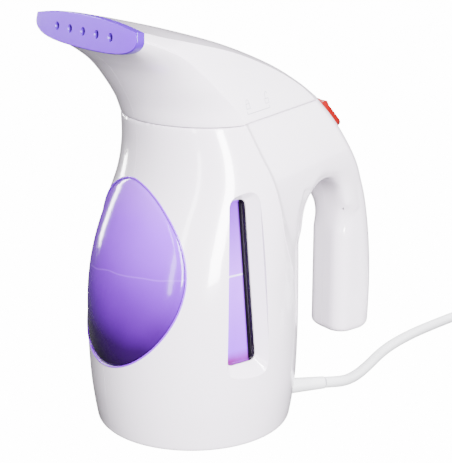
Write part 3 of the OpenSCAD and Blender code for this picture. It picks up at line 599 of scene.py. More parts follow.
class SteamerSizes(bpy.types.PropertyGroup):
    wall: bpy.props.FloatProperty(name="Wall", description="Wall of the casing and of the head",
                                  default=0.0024, min=0.001, unit="LENGTH")
    step: bpy.props.FloatProperty(name="Step", description="Height of the step along the side line",
                                  default=0.0013, min=0, unit="LENGTH")
    groove: bpy.props.FloatProperty(name="Groove", description="Radius of the groove along the side line",
                                    default=0.0005, min=0.0001, unit="LENGTH")
    voxel: bpy.props.FloatProperty(name="Fineness", description="Size of the casing's faces",
                                   default=0.00085, min=0.0004, unit="LENGTH")
    bulge: bpy.props.FloatProperty(name="Lens bulge", description="How far the front window swells out",
                                   default=0.0008, min=0, unit="LENGTH")
    rim: bpy.props.FloatProperty(name="Rim", description="Radius of the bead round the front window",
                                 default=0.0005, min=0.0001, unit="LENGTH")
    parting: bpy.props.FloatProperty(name="Parting gap", description="Half of the gap between the halves",
                                     default=0.00006, min=0, unit="LENGTH")
    cord: bpy.props.FloatProperty(name="Cord", description="Diameter of the cord", default=0.006,
                                  min=0.003, unit="LENGTH")


def colour_property(name, description, value):
    return bpy.props.FloatVectorProperty(name=name, description=description, default=value, size=3,
                                         min=0, max=1, subtype="COLOR")


class SteamerColours(bpy.types.PropertyGroup):
    shell: colour_property("Casing", "White of the casing and the head", (0.86, 0.79, 0.89))
    # The window colours from Pale violet down to Dark violet are steps of painted shade, pale at the top and nearly
    # black at the bottom; Violet foot is painted shade at the foot of the side windows.
    violet_pale: colour_property("Pale violet", "Top of the windows", (0.4, 0.1, 0.95))
    violet_light: colour_property("Light violet", "Upper part of the windows", (0.28, 0.025, 0.85))
    violet: colour_property("Violet", "Middle of the windows", (0.13, 0.004, 0.42))
    violet_deep: colour_property("Deep violet", "Lower part of the windows", (0.02, 0.001, 0.06))
    violet_dark: colour_property("Dark violet", "Bottom of the windows", (0.002, 0.0006, 0.004))
    violet_foot: colour_property("Violet foot", "Foot of the side windows", (0.16, 0.003, 0.12))
    nozzle: colour_property("Nozzle", "Face of the nozzle plate", (0.24, 0.012, 1.0))
    # Painted shade: a darker copy of the nozzle's violet for the plate's edges.
    nozzle_edge_shade: colour_property("Nozzle rim", "Edge of the nozzle plate", (0.08, 0.001, 0.4))
    rocker: colour_property("Rocker", "Red of the switch", (0.2, 0.0015, 0.002))
    cord: colour_property("Cord", "White of the cord and the plug", (0.72, 0.72, 0.75))
    mark: colour_property("Marks", "Grey of the two lock marks", (0.4, 0.39, 0.45))
    floor: colour_property("Floor", "The floor that it stands on", (0.03, 0.03, 0.03))


# ---- the cord ------------------------------------------------------------------------------------------

ROUTE = [
    [27, 66.8, 7.5], [28, 73, 6.6], [27.4, 80, 5.2], [25.2, 87, 4], [22, 95, 3.2], [18, 104, 3],
    [13.6, 113, 3], [9, 122, 3], [4.5, 132, 3], [0.5, 143, 3], [-2.8, 155, 3], [-5.4, 167, 3],
    [-7.4, 180, 3], [-8.8, 193, 3.2], [-9.5, 206, 3.6], [-9.6, 219, 4], [-9.6, 232, 4.1]]
END = [[75.6, 232, 10.3], [75.6, 222, 10.2], [75.7, 212, 9], [76.4, 202, 6.8], [77.8, 191, 6], [80, 180, 7]]
COIL_AT = (33, 232)
COIL_GAP = 6.2
COIL_IN = 24.0
COIL_Z = 4.1
COIL_STEPS = 24     # points in a turn


def coil_points():
    """Seven and a half turns: four inwards on the floor, then outwards on top of them."""
    low = [COIL_IN + COIL_GAP * i for i in (3, 2, 1, 0)]
    radii = low + low[::-1]
    points = []
    for j in range(1, int(7.5 * COIL_STEPS)):
        turn = j / COIL_STEPS
        i = int(turn)
        near = turn - i
        share = float(ramp(near, 1 - 0.12, 1.0)) if i < 7 else 0.0
        after = radii[min(i + 1, 7)]
        radius = radii[i] + (after - radii[i]) * share
        z = COIL_Z + (COIL_GAP if i >= 4 else COIL_GAP * share if i == 3 else 0)
        if i == 3:
            radius -= 2.5 * math.sin(math.pi * share)
        angle = math.pi - 2 * math.pi * turn
        points.append([COIL_AT[0] + radius * math.cos(angle), COIL_AT[1] + radius * math.sin(angle), z])
    return points


class STEAMER_OT_cord(bpy.types.Operator):
    """Lay the mains cord: from the strain relief along the floor, into a coil and up to the plug"""
    bl_idname = "steamer.cord"
    bl_label = "Mains cord"

    def execute(self, context):
        line = [Vector(p) * MM for p in ROUTE + coil_points() + END]
        data = bpy.data.curves.new("mains_cord", "CURVE")
        data.dimensions = "3D"
        spline = data.splines.new("BEZIER")
        spline.bezier_points.add(len(line) - 1)
        for point, place in zip(spline.bezier_points, line):
            point.co = place
            point.handle_left_type = point.handle_right_type = "AUTO"
        spline.resolution_u = 4
        data.bevel_depth = context.scene.steamer_sizes.cord / 2
        data.bevel_resolution = 6
        data.use_fill_caps = True
        data.materials.append(material("cord"))
        obj = bpy.data.objects.new("mains_cord", data)
        context.scene.collection.objects.link(obj)
        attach(obj, "base")
        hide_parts("power_cord", "cord_coil", "cord_end")
        return {"FINISHED"}


# ---- the camera, the lights and the floor --------------------------------------------------------------

VIEW_AT = (0.4961, -0.3375, 0.2814)
VIEW_TURN, VIEW_PITCH = 54.15, 17.015    # degrees
LENS = 96.56


class STEAMER_OT_stage(bpy.types.Operator):
    """Make the floor, the lights and the camera"""
    bl_idname = "steamer.stage"
    bl_label = "Stage"

    def execute(self, context):
        self.camera(context)
        self.floor(context)
        self.lights(context)
        return {"FINISHED"}

    def camera(self, context):
        a, p = math.radians(VIEW_TURN), math.radians(VIEW_PITCH)
        right = Vector((math.cos(a), math.sin(a), 0))
        back = Vector((math.sin(a) * math.cos(p), -math.cos(a) * math.cos(p), math.sin(p)))
        up = back.cross(right)
        data = bpy.data.cameras.new("view")
        data.lens = LENS
        data.clip_start = 0.01
        obj = bpy.data.objects.new("view", data)
        rows = [[right[i], up[i], back[i], VIEW_AT[i]] for i in range(3)] + [[0, 0, 0, 1]]
        obj.matrix_world = Matrix(rows)
        context.scene.collection.objects.link(obj)
        context.scene.camera = obj

    def floor(self, context):
        for other in context.selected_objects:
            other.select_set(False)
        bpy.ops.mesh.primitive_plane_add(size=24)
        floor = context.active_object
        floor.name = "floor"
        nodes = Nodes("pale_floor")
        colour = tuple(context.scene.steamer_colours.floor)
        nodes.set(Base_Color=nodes.mix(nodes.spread(nodes.noise(3, 2), 0, 1), tuple(c * 0.99 for c in colour),
                                       colour),
                  Roughness=0.9, Specular_IOR_Level=0.0, Emission_Color=(1, 1, 1), Emission_Strength=15.0)
        floor.data.materials.append(nodes.material)
        only_floor = bpy.data.collections.new("lit_by_floor")
        only_floor.objects.link(floor)
        floor.light_linking.receiver_collection = only_floor

    def lights(self, context):
        world = bpy.data.worlds.new("soft_room")
        world.use_nodes = True
        world.node_tree.nodes["Background"].inputs["Color"].default_value = (0.72, 0.62, 0.9, 1)
        world.node_tree.nodes["Background"].inputs["Strength"].default_value = 0.1
        context.scene.world = world
        self.area("top_box", (0.0, 0.45, 1.5), (0, 0, 0.1), 1.2, 1.2, 80)
        self.area("key_box", (0.95, -0.3, 0.42), (0, 0.03, 0.1), 0.22, 0.9, 62)
        self.area("front_box", (0.62, -0.95, 0.42), (0, 0, 0.1), 0.1, 0.9, 9)
        self.area("left_box", (-0.95, -0.2, 0.35), (0, 0, 0.1), 0.14, 1.0, 17)
        self.area("rear_box", (0.3, 1.1, 0.5), (0, 0, 0.1), 0.8, 0.8, 10)

    def area(self, name, place, target, width, height, power):
        data = bpy.data.lights.new(name, "AREA")
        data.shape = "RECTANGLE"
        data.size, data.size_y = width, height
        data.energy = power
        obj = bpy.data.objects.new(name, data)
        obj.location = place
        obj.rotation_euler = (Vector(target) - Vector(place)).to_track_quat("-Z", "Y").to_euler()
        bpy.context.scene.collection.objects.link(obj)


# ---- the casing ----------------------------------------------------------------------------------------

def vase(name, inset=0.0, low=0.0, high=BODY_H):
    """The round body, as a closed solid."""
    edge = [] if inset else [0.0, 0.15, 0.45, 0.9, 1.35]
    heights = ([low] if inset else edge) + list(np.linspace(FOOT_EDGE, high, 64))
    rings = []
    for z in heights:
        rings.append(lifted(body_half(z, inset + (0 if inset else edge_inset(z, FOOT_EDGE))), z))
    return loft(name, rings)


def shoulder(name, inset, step):
    heights = np.linspace(ARCH_C - 4, BODY_H, 30)
    rings = []
    for z in heights:
        half = flank_half(z, inset, step)
        rings.append(lifted(np.vstack([[0, half[0][1]], half]), z))
    return loft(name, rings)


def web(name, step):
    """Fades the flat flanks into the round body below the finger gap's arch."""
    low, high = BODY_H * 0.46, ARCH_C + 2
    rings = []
    for z in np.linspace(low, high, 24):
        x = side_x(z) - step
        reach = (BODY_R - side_y(z)) / (HANDLE_IN - side_y(z))
        tip = (x - reach * (x - HANDLE_W / 2)) * float(ramp(z, low, high)) - 0.2
        half = np.array([[0, side_y(z) - 2], [x - 0.2, side_y(z) - 2], [max(tip, 0.5), BODY_R], [0, BODY_R]])
        rings.append(lifted(half, z))
    return loft(name, rings)


def handle(name, inset, low, high):
    heights = [low, low + 0.3, low + 1, low + 2, low + 3, low + 4] + list(np.linspace(low + 6, high, 40))
    rings = []
    for z in heights:
        end = 0 if inset else edge_inset(z - low, 4)
        rings.append(lifted(handle_half(z, inset + end + 0.5 * float(ramp(z, ARCH_Z - GAP_R, high))), z))
    return loft(name, rings)


def gap_profile(grow):
    """The finger gap from the side, as places along Y and up."""
    y0, y1 = GAP_Y - grow, HANDLE_IN + SINK + grow * 0.4
    a = np.linspace(0, math.pi, 48)
    arch = [[(y0 + y1) / 2 + (y1 - y0) / 2 * math.cos(t), ARCH_C + (GAP_R + grow) * math.sin(t)] for t in a]
    return [[y0, -10], [y1, -10]] + arch


def finger_gap(name, grow, flare=0.0):
    """The finger gap, which opens out towards both sides like a funnel by the flare."""
    rings = []
    for x in list(np.linspace(-62, -12, 16)) + list(np.linspace(12, 62, 16)):
        share = min(max((abs(x) - 12) / 22, 0), 1)
        more = flare * (1 - math.sqrt(max(1 - share * share, 0))) + flare * 0.02 * max(abs(x) - 34, 0)
        rings.append(np.array([[x, y, z] for y, z in gap_profile(grow + more)]))
    return loft(name, rings)


def side_far(z):
    half = body_half(z)
    return half[half[:, 1] < side_y(z)][:, 0].max() - 0.4


LEAN = math.atan((side_far(50) - side_far(122)) / 72)


def slot_outline(inner, grow=0.0):
    g = grow
    if inner:
        return rounded([[-13.5 - g, SLOT_LOW + 7 - g], [4.2 + g, SLOT_LOW + 7 - g],
                        [1 + g, SLOT_HIGH - 5 + g], [-8.5 - g, SLOT_HIGH - 5 + g]], min(4.0, max(4 + g, 1.0)))
    return rounded([[-17.3 - g, SLOT_LOW - g], [8.6 + g, SLOT_LOW - g],
                    [5 + g, SLOT_HIGH + g], [-12 - g, SLOT_HIGH + g]], 7)


def at_slot(side, outline, depth):
    """A ring at a depth in the side window's leaning frame, on the right or mirrored to the left."""
    x = side_far(50) + depth * math.cos(LEAN) - (outline[:, 1] - 50) * math.sin(LEAN)
    z = 50 + depth * math.sin(LEAN) + (outline[:, 1] - 50) * math.cos(LEAN)
    return np.column_stack([side * x, outline[:, 0], z])


def slot_recess(side, grow):
    return loft("slot_tool", [at_slot(side, slot_outline(True, grow), -RECESS - grow),
                              at_slot(side, slot_outline(False, grow), 0),
                              at_slot(side, slot_outline(False, grow), 12)])


def slot_opening(side, grow, low, high, name="slot_tool"):
    return loft(name, [at_slot(side, slot_outline(True, grow), d) for d in (low, high)])


def drop_outline(grow=0.0, count=96):
    """The front window's outline: an egg that comes to a soft point at the top."""
    a = np.linspace(0, 2 * math.pi, count, endpoint=False)
    up = np.sin(a) > 0
    tall = np.where(up, DROP_Z1 - DROP_C, DROP_C - DROP_Z0) + grow
    x = np.sign(np.cos(a)) * (DROP_W + grow) * np.abs(np.cos(a)) ** np.where(up, 1.15, 1.0)
    return np.column_stack([x, DROP_C + tall * np.sin(a)])


def switch_frame():
    """The switch's own frame, in metres: Z out of the handle's back, Y down along it."""
    fall = (back_y(SWITCH_Z - 4) - back_y(SWITCH_Z + 4)) / 8
    turn = math.atan2(1, fall)
    place = Matrix.Translation(Vector((0, back_y(SWITCH_Z), SWITCH_Z)) * MM)
    return place @ Matrix.Rotation(-turn, 4, "X")


def exit_frame():
    """The cord's exit, in metres: Z out along the cord."""
    return (Matrix.Translation((0, 0, 0.0075)) @ Matrix.Rotation(math.radians(-22), 4, "Z")
            @ Matrix.Rotation(math.radians(-90), 4, "X"))


def side_line():
    """The line down the right side where the front of the casing meets its flank."""
    line = []
    for z in np.linspace(BODY_H + 1, 30, 90):
        y = side_y(z) + 16 * float(ramp(z, 112, 52)) if z < 112 else side_y(z)
        half = body_half(min(z, BODY_H))
        back = half[half[:, 1] >= side_y(z) - 3]
        line.append([np.interp(y, back[:, 1], back[:, 0]), y, z])
    return np.array(line)


def soften_casing(obj):
    """Rounds the edges of the arch and fades the web into the body, then takes out the last unevenness."""
    co = points_of(obj) / MM
    y, z = co[:, 1], co[:, 2]
    over = np.where(z > ARCH_C, np.abs(np.hypot(y - GAP_Y - GAP_R, z - ARCH_C) - GAP_R),
                    np.minimum(np.abs(y - GAP_Y), np.abs(y - HANDLE_IN)))
    arch = (1 - ramp(over, 4, 10)) * ramp(z, 84, 100)
    relax(obj, arch, 90)
    rear = ramp(y, 24, 34) * ramp(z, 52, 62) * (1 - ramp(z, 104, 118)) * (1 - ramp(y, 54, 60))
    relax(obj, rear, 60)
    ledge = ramp(y, 72, 80) * ramp(z, 82, 92) * (1 - ramp(z, 112, 124)) * (1 - ramp(y, 92, 98))
    relax(obj, ledge, 160)
    calm = np.ones(len(co))
    for _ in range(4):
        relax(obj, calm, 1, 0.6)
        relax(obj, calm, 1, -0.62)


class STEAMER_OT_casing(bpy.types.Operator):
    """Make the two halves of the casing, with the handle, the recesses and every opening"""
    bl_idname = "steamer.casing"
    bl_label = "Casing"

    def execute(self, context):
        sizes = context.scene.steamer_sizes
        wall = sizes.wall / MM
        step = sizes.step / MM
        solid = self.outside(step, sizes.voxel)
        self.hollow(solid, wall)
        self.openings(solid, wall, sizes.groove / MM)
        other = copied(solid, "casing_left")
        solid.name = solid.data.name = "casing_right"
        gap = sizes.parting / MM
        combine(solid, box_tool((gap, -200, -20), (200, 200, 300)), "INTERSECT")
        combine(other, box_tool((-200, -200, -20), (-gap, 200, 300)), "INTERSECT")
        finished(solid, "base", material("shell"), ["body_shell_right"])
        finished(other, "base", material("shell"), ["body_shell_left"])
        return {"FINISHED"}

    def outside(self, step, voxel):
        """The outer form, with its edges softened."""
        solid = vase("casing")
        rear = combine(shoulder("flanks", 0, step), web("web", step), "UNION")
        combine(rear, finger_gap("gap", 0, FLARE), "DIFFERENCE")
        combine(solid, rear, "UNION")
        combine(solid, handle("grip", 0, HANDLE_Z, ARCH_Z + 6), "UNION")
        apply_modifier(solid, "REMESH", mode="VOXEL", voxel_size=voxel)
        soften_casing(solid)
        return solid

    def hollow(self, solid, wall):
        space = vase("space", wall, -1.0)
        room = shoulder("room", wall + 2.6, 0.8)
        combine(room, finger_gap("gap", wall + 2.6, FLARE), "DIFFERENCE")
        combine(space, room, "UNION")
        for side in (1, -1):
            combine(space, slot_recess(side, wall), "DIFFERENCE")
        combine(space, box_tool((-200, -200, -2), (200, 200, BODY_H - wall)), "INTERSECT")
        combine(solid, space, "DIFFERENCE")
        combine(solid, handle("grip", wall + 1.6, HANDLE_Z + 4, ARCH_Z + 2), "DIFFERENCE")

    def openings(self, solid, wall, groove):
        for side in (1, -1):
            combine(solid, slot_recess(side, 0), "DIFFERENCE")
            combine(solid, slot_opening(side, 0, -RECESS - wall - 1, 0), "DIFFERENCE")
            line = side_line() * [side, 1, 1]
            combine(solid, tube_along("groove", line, groove), "DIFFERENCE")
        window = prism("window", drop_outline(), 0, 90, lambda p, d: (p[0], -d, p[1]))
        combine(solid, window, "DIFFERENCE")
        combine(solid, cylinder_tool(COLLAR_R + 0.15, BODY_H - wall - 1, BODY_H + 2), "DIFFERENCE")
        combine(solid, box_tool((-6.7, -10.7, -26), (6.7, 10.7, 12), switch_frame()), "DIFFERENCE")
        combine(solid, cylinder_tool(4.35, 30, 90, exit_frame()), "DIFFERENCE")


# ---- the head ------------------------------------------------------------------------------------------

def head_solid(name, inset, step):
    places = np.linspace(0, 6, 90)
    if inset:
        rings = [head_ring(u, inset) for u in places] + [head_ring(6, inset, ahead=2)]
    else:
        rings = [head_ring(0, 0.6, step), head_ring(0.004, 0.3, step), head_ring(0.012, 0.1, step)]
        rings += [head_ring(u, 0, step) for u in places[1:]]
    return loft(name, rings)


def head_side_line():
    """The line up the head's right side, from the seam to the nozzle."""
    line = []
    for u in np.linspace(-0.02, 6.03, 80):
        front, back, g, gx, _, _ = head_row(min(max(u, 0), 6))
        place = front + (back - front) * g
        line.append([gx - 0.25, *place])
    line[0][2] -= 1
    return np.array(line)


class STEAMER_OT_head(bpy.types.Operator):
    """Make the two halves of the head"""
    bl_idname = "steamer.head"
    bl_label = "Head"

    def execute(self, context):
        sizes = context.scene.steamer_sizes
        wall = sizes.wall / MM
        solid = head_solid("head", 0, sizes.step / MM)
        space = head_solid("space", wall, 0)
        combine(space, box_tool((-200, -200, FLOOR_Z + wall), (200, 200, 400)), "INTERSECT")
        combine(solid, space, "DIFFERENCE")
        combine(solid, cylinder_tool(NECK_R, FLOOR_Z - 1, FLOOR_Z + wall + 1), "DIFFERENCE")
        for side in (1, -1):
            line = head_side_line() * [side, 1, 1]
            combine(solid, tube_along("groove", line, sizes.groove / MM), "DIFFERENCE")
        other = copied(solid, "head_left")
        solid.name = solid.data.name = "head_right"
        gap = sizes.parting / MM
        combine(solid, box_tool((gap, -200, 100), (200, 200, 300)), "INTERSECT")
        combine(other, box_tool((-200, -200, 100), (-gap, 200, 300)), "INTERSECT")
        finished(solid, "head", material("shell"), ["head_shell_right"], 24)
        finished(other, "head", material("shell"), ["head_shell_left"], 24)
        return {"FINISHED"}


# ---- the windows ---------------------------------------------------------------------------------------

def front_surface(x, z):
    """Y of the casing's front at a place across and up, and the outward direction there."""
    half = body_half(z)
    front = half[:40]
    y = np.interp(abs(x), front[:, 0], front[:, 1])
    dy = np.interp(abs(x) + 0.5, front[:, 0], front[:, 1]) - np.interp(max(abs(x) - 0.5, 0), front[:, 0], front[:, 1])
    n = np.array([math.copysign(dy, x), -min(1.0, abs(x) + 0.5)])
    return y, n / np.linalg.norm(n)


class STEAMER_OT_front_window(bpy.types.Operator):
    """Make the violet teardrop lens and the bead round it"""
    bl_idname = "steamer.front_window"
    bl_label = "Front window"

    def execute(self, context):
        sizes = context.scene.steamer_sizes
        outline = drop_outline(-0.15)
        centre = np.array([0, DROP_C])
        shares = [0.02] + list(np.linspace(0.08, 0.94, 22)) + [0.97, 0.99, 1.0]
        rings = []
        for s in shares:
            rise = sizes.bulge / MM * (1 - s ** 3)
            sunk = 0.7 * float(ramp(s, 0.975, 1.0)) + 0.12
            rings.append(self.ring(centre + (outline - centre) * s, rise - sunk))
        for s in (1.0, 0.6, 0.02):
            rings.append(self.ring(centre + (outline - centre) * s, -sizes.wall / MM))
        lens = loft("front_lens", rings)
        finished(lens, "base", material("lens"), ["front_window"], 40)
        edge = self.ring(drop_outline(0.1), 0.0)
        closed = np.vstack([edge, edge[:1]])
        bead = self.bead(closed, sizes.rim / MM)
        finished(bead, "base", material("rim"), (), 60)
        return {"FINISHED"}

    def ring(self, outline, rise):
        points = []
        for x, z in outline:
            y, n = front_surface(x, z)
            points.append([x + n[0] * rise, y + n[1] * rise, z])
        return np.array(points)

    def bead(self, line, radius):
        """A closed bead along a closed line."""
        line = line[:-1]
        n = len(line)
        steps = np.roll(line, -1, 0) - np.roll(line, 1, 0)
        steps /= np.linalg.norm(steps, axis=1)[:, None]
        out = line * [1, 1, 0]
        out /= np.linalg.norm(out, axis=1)[:, None]
        across = np.cross(steps, out)
        across /= np.linalg.norm(across, axis=1)[:, None]
        out = np.cross(across, steps)
        sides = 8
        angles = np.linspace(0, 2 * math.pi, sides, endpoint=False)
        points = np.vstack([p + radius * (np.outer(np.cos(angles), u) + np.outer(np.sin(angles), v))
                            for p, u, v in zip(line, across, out)])
        faces = []
        for j in range(n):
            for i in range(sides):
                a, b = j * sides + i, j * sides + (i + 1) % sides
                faces.append([a, b, (b + sides) % (n * sides), (a + sides) % (n * sides)])
        return recalculate(new_mesh("front_lens_bead", points, faces))


class STEAMER_OT_side_windows(bpy.types.Operator):
    """Make the violet panes in the side slots"""
    bl_idname = "steamer.side_windows"
    bl_label = "Side windows"

    def execute(self, context):
        for side, word in ((1, "right"), (-1, "left")):
            pane = self.pane(side, f"side_pane_{word}")
            finished(pane, "base", material("pane"), [f"side_window_{word}"], 35)
        return {"FINISHED"}

    def pane(self, side, name):
        """A pane with a raised border, whose flange lies behind the casing's wall."""
        rings = [(2.0, -RECESS - 4.0), (2.0, -RECESS - 2.5), (-0.15, -RECESS - 2.4), (-0.15, -RECESS - 0.5),
                 (-0.45, -RECESS - 0.2), (-1.0, -RECESS - 0.2), (-1.3, -RECESS - 0.8), (-2.5, -RECESS - 0.7)]
        return loft(name, [at_slot(side, slot_outline(True, grow), depth) for grow, depth in rings])


# ---- the nozzle ----------------------------------------------------------------------------------------

HOLE_D, HOLE_GAP, HOLE_COUNT = 3.1, 12.1, 5
PLATE_T = 4.0


def nozzle_frame():
    front, back = head_row(6)[:2]
    d = back - front
    turn = math.atan2(d[1], d[0])
    place = Matrix.Translation(Vector((0, front[0], front[1])) * MM)
    return place @ Matrix.Rotation(turn, 4, "X"), np.linalg.norm(d)


class STEAMER_OT_nozzle(bpy.types.Operator):
    """Make the nozzle plate with its steam holes"""
    bl_idname = "steamer.nozzle"
    bl_label = "Nozzle plate"

    def execute(self, context):
        frame_at, length = nozzle_frame()
        full = whole(head_half(6, 0))
        depths = [(2.75, -3.0), (2.75, 0.0), (0.1, 0.0), (0.0, 0.3), (0.0, 3.3), (0.12, 3.7), (0.4, 3.95),
                  (0.8, 4.0)]
        rings = []
        for inset, depth in depths:
            rings.append(self.section(full, inset, depth, frame_at))
        plate = loft("nozzle_grille", rings)
        for i in range(HOLE_COUNT):
            x = (i - (HOLE_COUNT - 1) / 2) * HOLE_GAP
            at = frame_at @ Matrix.Translation(Vector((x, length / 2, 0)) * MM)
            combine(plate, cylinder_tool(HOLE_D / 2, -20, 20, at, 40), "DIFFERENCE")
            combine(plate, self.countersink(at), "DIFFERENCE")
        finished(plate, "head", material("nozzle"), ["nozzle_plate"], 35)
        # Faces that point out of the plate keep the violet; every other face gets its darker copy, painted shade.
        plate.data.materials.append(material("nozzle_edge_shade"))
        inverse = frame_at.inverted()
        for face in plate.data.polygons:
            local = inverse @ face.center
            lift = (inverse.to_3x3() @ face.normal).z
            face.material_index = 0 if local.z > 3.9 * MM and lift > 0.9 else 1
        return {"FINISHED"}

    def section(self, outline, inset, depth, at):
        """The outline, moved inwards and lifted."""
        low, high = outline.min(0), outline.max(0)
        centre, half = (low + high) / 2, (high - low) / 2
        shrunk = centre + (outline - centre) * (1 - inset / half)
        return np.array([at @ (Vector((*p, depth)) * MM) / MM for p in shrunk])

    def countersink(self, at):
        for other in bpy.context.selected_objects:
            other.select_set(False)
        bpy.ops.mesh.primitive_cone_add(vertices=40, radius1=HOLE_D / 2 * MM, radius2=(HOLE_D / 2 + 0.5) * MM,
                                        depth=0.0012, location=(0, 0, 0.0035))
        cone = bpy.context.active_object
        cone.data.transform(at @ cone.matrix_world)
        cone.matrix_world = Matrix.Identity(4)
        return cone


# ---- the marks by the seam -----------------------------------------------------------------------------

def lock_mark(y, z, open_by):
    """A padlock's outline and its shackle, as lines in the plane across X."""
    box = [[y - 1.5, z], [y + 1.5, z], [y + 1.5, z + 2.2], [y - 1.5, z + 2.2], [y - 1.5, z]]
    a = np.linspace(0, math.pi, 9)
    arc = [[y + 1.0 * math.cos(t), z + 3.0 + open_by + 1.1 * math.sin(t)] for t in a]
    start = [] if open_by else [[y + 1.0, z + 2.2]]
    return [box, start + arc + [[y - 1.0, z + 2.2]]]


class STEAMER_OT_marks(bpy.types.Operator):
    """Inlay the closed lock, the open lock and the line between them on both sides of the head"""
    bl_idname = "steamer.marks"
    bl_label = "Lock marks"

    def execute(self, context):
        lines = lock_mark(8.5, 165.5, 0) + lock_mark(24.5, 165.5, 1.2) + [
            [[7.0, 164.4], [7.0, 163.2], [26.0, 163.2], [26.0, 164.4]]]
        for word in ("right", "left"):
            shell = bpy.data.objects[f"head_{word}"]
            side = 1 if word == "right" else -1
            tubes = [self.inlay(shell, side, line) for line in lines]
            select_only(tubes[0])
            for other in tubes[1:]:
                other.select_set(True)
            bpy.ops.object.join()
            mark = bpy.context.active_object
            mark.name = mark.data.name = f"lock_marks_{word}"
            finished(mark, "head", material("mark"), (), 60)
        return {"FINISHED"}

    def inlay(self, shell, side, line):
        """A fine bead along a line, pressed halfway into the shell."""
        points = []
        for (y0, z0), (y1, z1) in zip(line, line[1:]):
            for t in np.linspace(0, 1, 6, endpoint=False):
                points.append((y0 + (y1 - y0) * t, z0 + (z1 - z0) * t))
        points.append(line[-1])
        placed = []
        for y, z in points:
            hit, place, _, _ = shell.ray_cast(Vector((side * 0.09, y * MM, z * MM)), Vector((-side, 0, 0)))
            if not hit:
                raise RuntimeError(f"the mark at {y}, {z} lies off the head")
            placed.append([place.x / MM, y, z])
        return tube_along("mark", placed, 0.16, 6)


# ---- pieces that keep the frame's shape, with their edges broken ---------------------------------------

# The node, the piece's name, the material, the slot, the edge's radius in millimetres, and its body
SMALL_PARTS = [
    ("base_plate", "bottom_plate", "shell", "white_shell", 0.3, "base"),
    ("base_screws", "bottom_screws", "steel", "steel", 0.15, "base"),
    ("water_tank", "tank", "rim", "violet_clear", 0.0, "base"),
    ("tank_gasket", "tank_seal", "silicone", "silicone", 0.2, "base"),
    ("heater_plate", "heater_disc", "aluminium", "aluminium", 0.3, "base"),
    ("heater_screws", "heater_bolts", "steel", "steel", 0.15, "base"),
    ("heating_element", "heating_ring", "steel", "steel", 0.0, "base"),
    ("boiler_hood", "hood", "dark", "dark_plastic", 0.2, "base"),
    ("steam_tube", "riser", "clear", "clear_plastic", 0.2, "base"),
    ("thermostat", "thermostat_can", "steel", "steel", 0.2, "base"),
    ("thermal_fuse", "fuse", "steel", "steel", 0.0, "base"),
    ("terminal_block", "terminals", "ivory", "ivory_plastic", 0.3, "base"),
    ("heater_leads", "element_wires", "red_lead", "lead_red", 0.0, "base"),
    ("switch_leads", "switch_wires", "blue_lead", "lead_blue", 0.0, "base"),
    ("neck_collar", "bayonet_collar", "grey", "grey_plastic", 0.3, "base"),
    ("collar_screws", "collar_bolts", "steel", "steel", 0.15, "base"),
    ("neck_seal", "seal_ring", "silicone", "silicone", 0.4, "seal"),
    ("head_plug", "bayonet_plug", "shell", "white_shell", 0.25, "head"),
    ("head_screws", "head_bolts", "steel", "steel", 0.15, "head"),
    ("splash_baffle", "baffle", "clear", "clear_plastic", 0.2, "head"),
    ("steam_duct", "duct", "clear", "clear_plastic", 0.0, "head"),
    ("nozzle_gasket", "nozzle_seal", "silicone", "silicone", 0.0, "head"),
    ("switch_bezel", "switch_frame", "rocker", "white_shell", 0.5, "base"),
    ("switch_housing", "switch_case", "dark", "dark_plastic", 0.3, "base"),
    ("switch_terminals", "switch_blades", "brass", "brass", 0.1, "base"),
    ("switch_pin", "rocker_pin", "steel", "steel", 0.1, "base"),
    ("switch_rocker", "rocker_key", "rocker", "red_rocker", 0.5, "rocker"),
    ("strain_relief", "cord_sleeve", "cord", "white_cord", 0.3, "base"),
    ("cord_lead", "cord_inside", "cord", "white_cord", 0.0, "base"),
    ("cord_clamp", "clamp", "dark", "dark_plastic", 0.3, "base"),
    ("clamp_screws", "clamp_bolts", "steel", "steel", 0.15, "base"),
    ("cord_tie", "coil_tie", "tie", "black_tie", 0.3, "base"),
    ("plug_body", "plug_shell", "cord", "white_cord", 1.0, "base"),
    ("plug_pins", "plug_blades", "brass", "brass", 0.3, "base"),
]


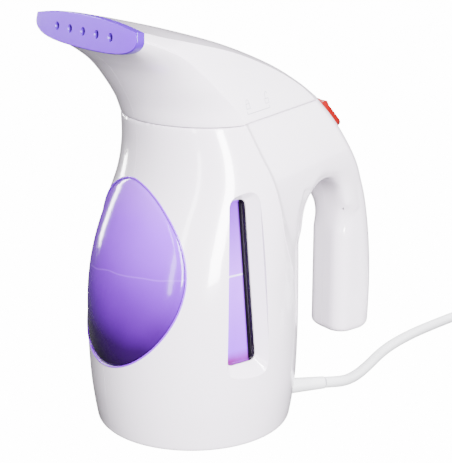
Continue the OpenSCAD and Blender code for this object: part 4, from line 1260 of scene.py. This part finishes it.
class STEAMER_OT_small_parts(bpy.types.Operator):
    """Copy the frame's small pieces, break their edges and give them their materials"""
    bl_idname = "steamer.small_parts"
    bl_label = "Small parts"

    def execute(self, context):
        for node, name, finish, slot, radius, body in SMALL_PARTS:
            piece = copied(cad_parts[node], name)
            for key in [k for k in piece.keys() if k.startswith("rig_")]:
                del piece[key]
            piece.parent = None
            select_only(piece)
            bpy.ops.object.mode_set(mode="EDIT")
            bpy.ops.mesh.select_all(action="SELECT")
            bpy.ops.mesh.remove_doubles(threshold=0.00001)
            bpy.ops.mesh.dissolve_limited(angle_limit=math.radians(0.5))
            bpy.ops.object.mode_set(mode="OBJECT")
            if radius:
                apply_modifier(piece, "BEVEL", width=radius * MM, segments=3, limit_method="ANGLE",
                               angle_limit=math.radians(40), use_clamp_overlap=True)
            finished(piece, body, material(finish), [node], 35)
        return {"FINISHED"}


# ---- the panel and running it --------------------------------------------------------------------------

class STEAMER_PT_panel(bpy.types.Panel):
    """Lists the steps that build the steamer"""
    bl_idname = "STEAMER_PT_panel"
    bl_label = "Garment Steamer"
    bl_space_type = "VIEW_3D"
    bl_region_type = "UI"
    bl_category = "Steamer"

    def draw(self, context):
        for group in (context.scene.steamer_sizes, context.scene.steamer_colours):
            for key in group.__annotations__:
                self.layout.prop(group, key)
        for step in STEPS:
            self.layout.operator(step.bl_idname)


STEPS = [
    STEAMER_OT_stage, STEAMER_OT_small_parts, STEAMER_OT_cord, STEAMER_OT_casing, STEAMER_OT_head,
    STEAMER_OT_marks, STEAMER_OT_front_window, STEAMER_OT_side_windows, STEAMER_OT_nozzle]
CLASSES = [SteamerSizes, SteamerColours, *STEPS, STEAMER_PT_panel]


def register():
    for cls in CLASSES:
        bpy.utils.register_class(cls)
    bpy.types.Scene.steamer_sizes = bpy.props.PointerProperty(type=SteamerSizes)
    bpy.types.Scene.steamer_colours = bpy.props.PointerProperty(type=SteamerColours)


def unregister():
    del bpy.types.Scene.steamer_colours
    del bpy.types.Scene.steamer_sizes
    for cls in reversed(CLASSES):
        bpy.utils.unregister_class(cls)


def main():
    register()
    bpy.ops.steamer.stage()
    bpy.ops.steamer.small_parts()
    bpy.ops.steamer.cord()
    bpy.ops.steamer.casing()
    bpy.ops.steamer.head()
    bpy.ops.steamer.marks()
    bpy.ops.steamer.front_window()
    bpy.ops.steamer.side_windows()
    bpy.ops.steamer.nozzle()


if __name__ == "__main__":
    main()
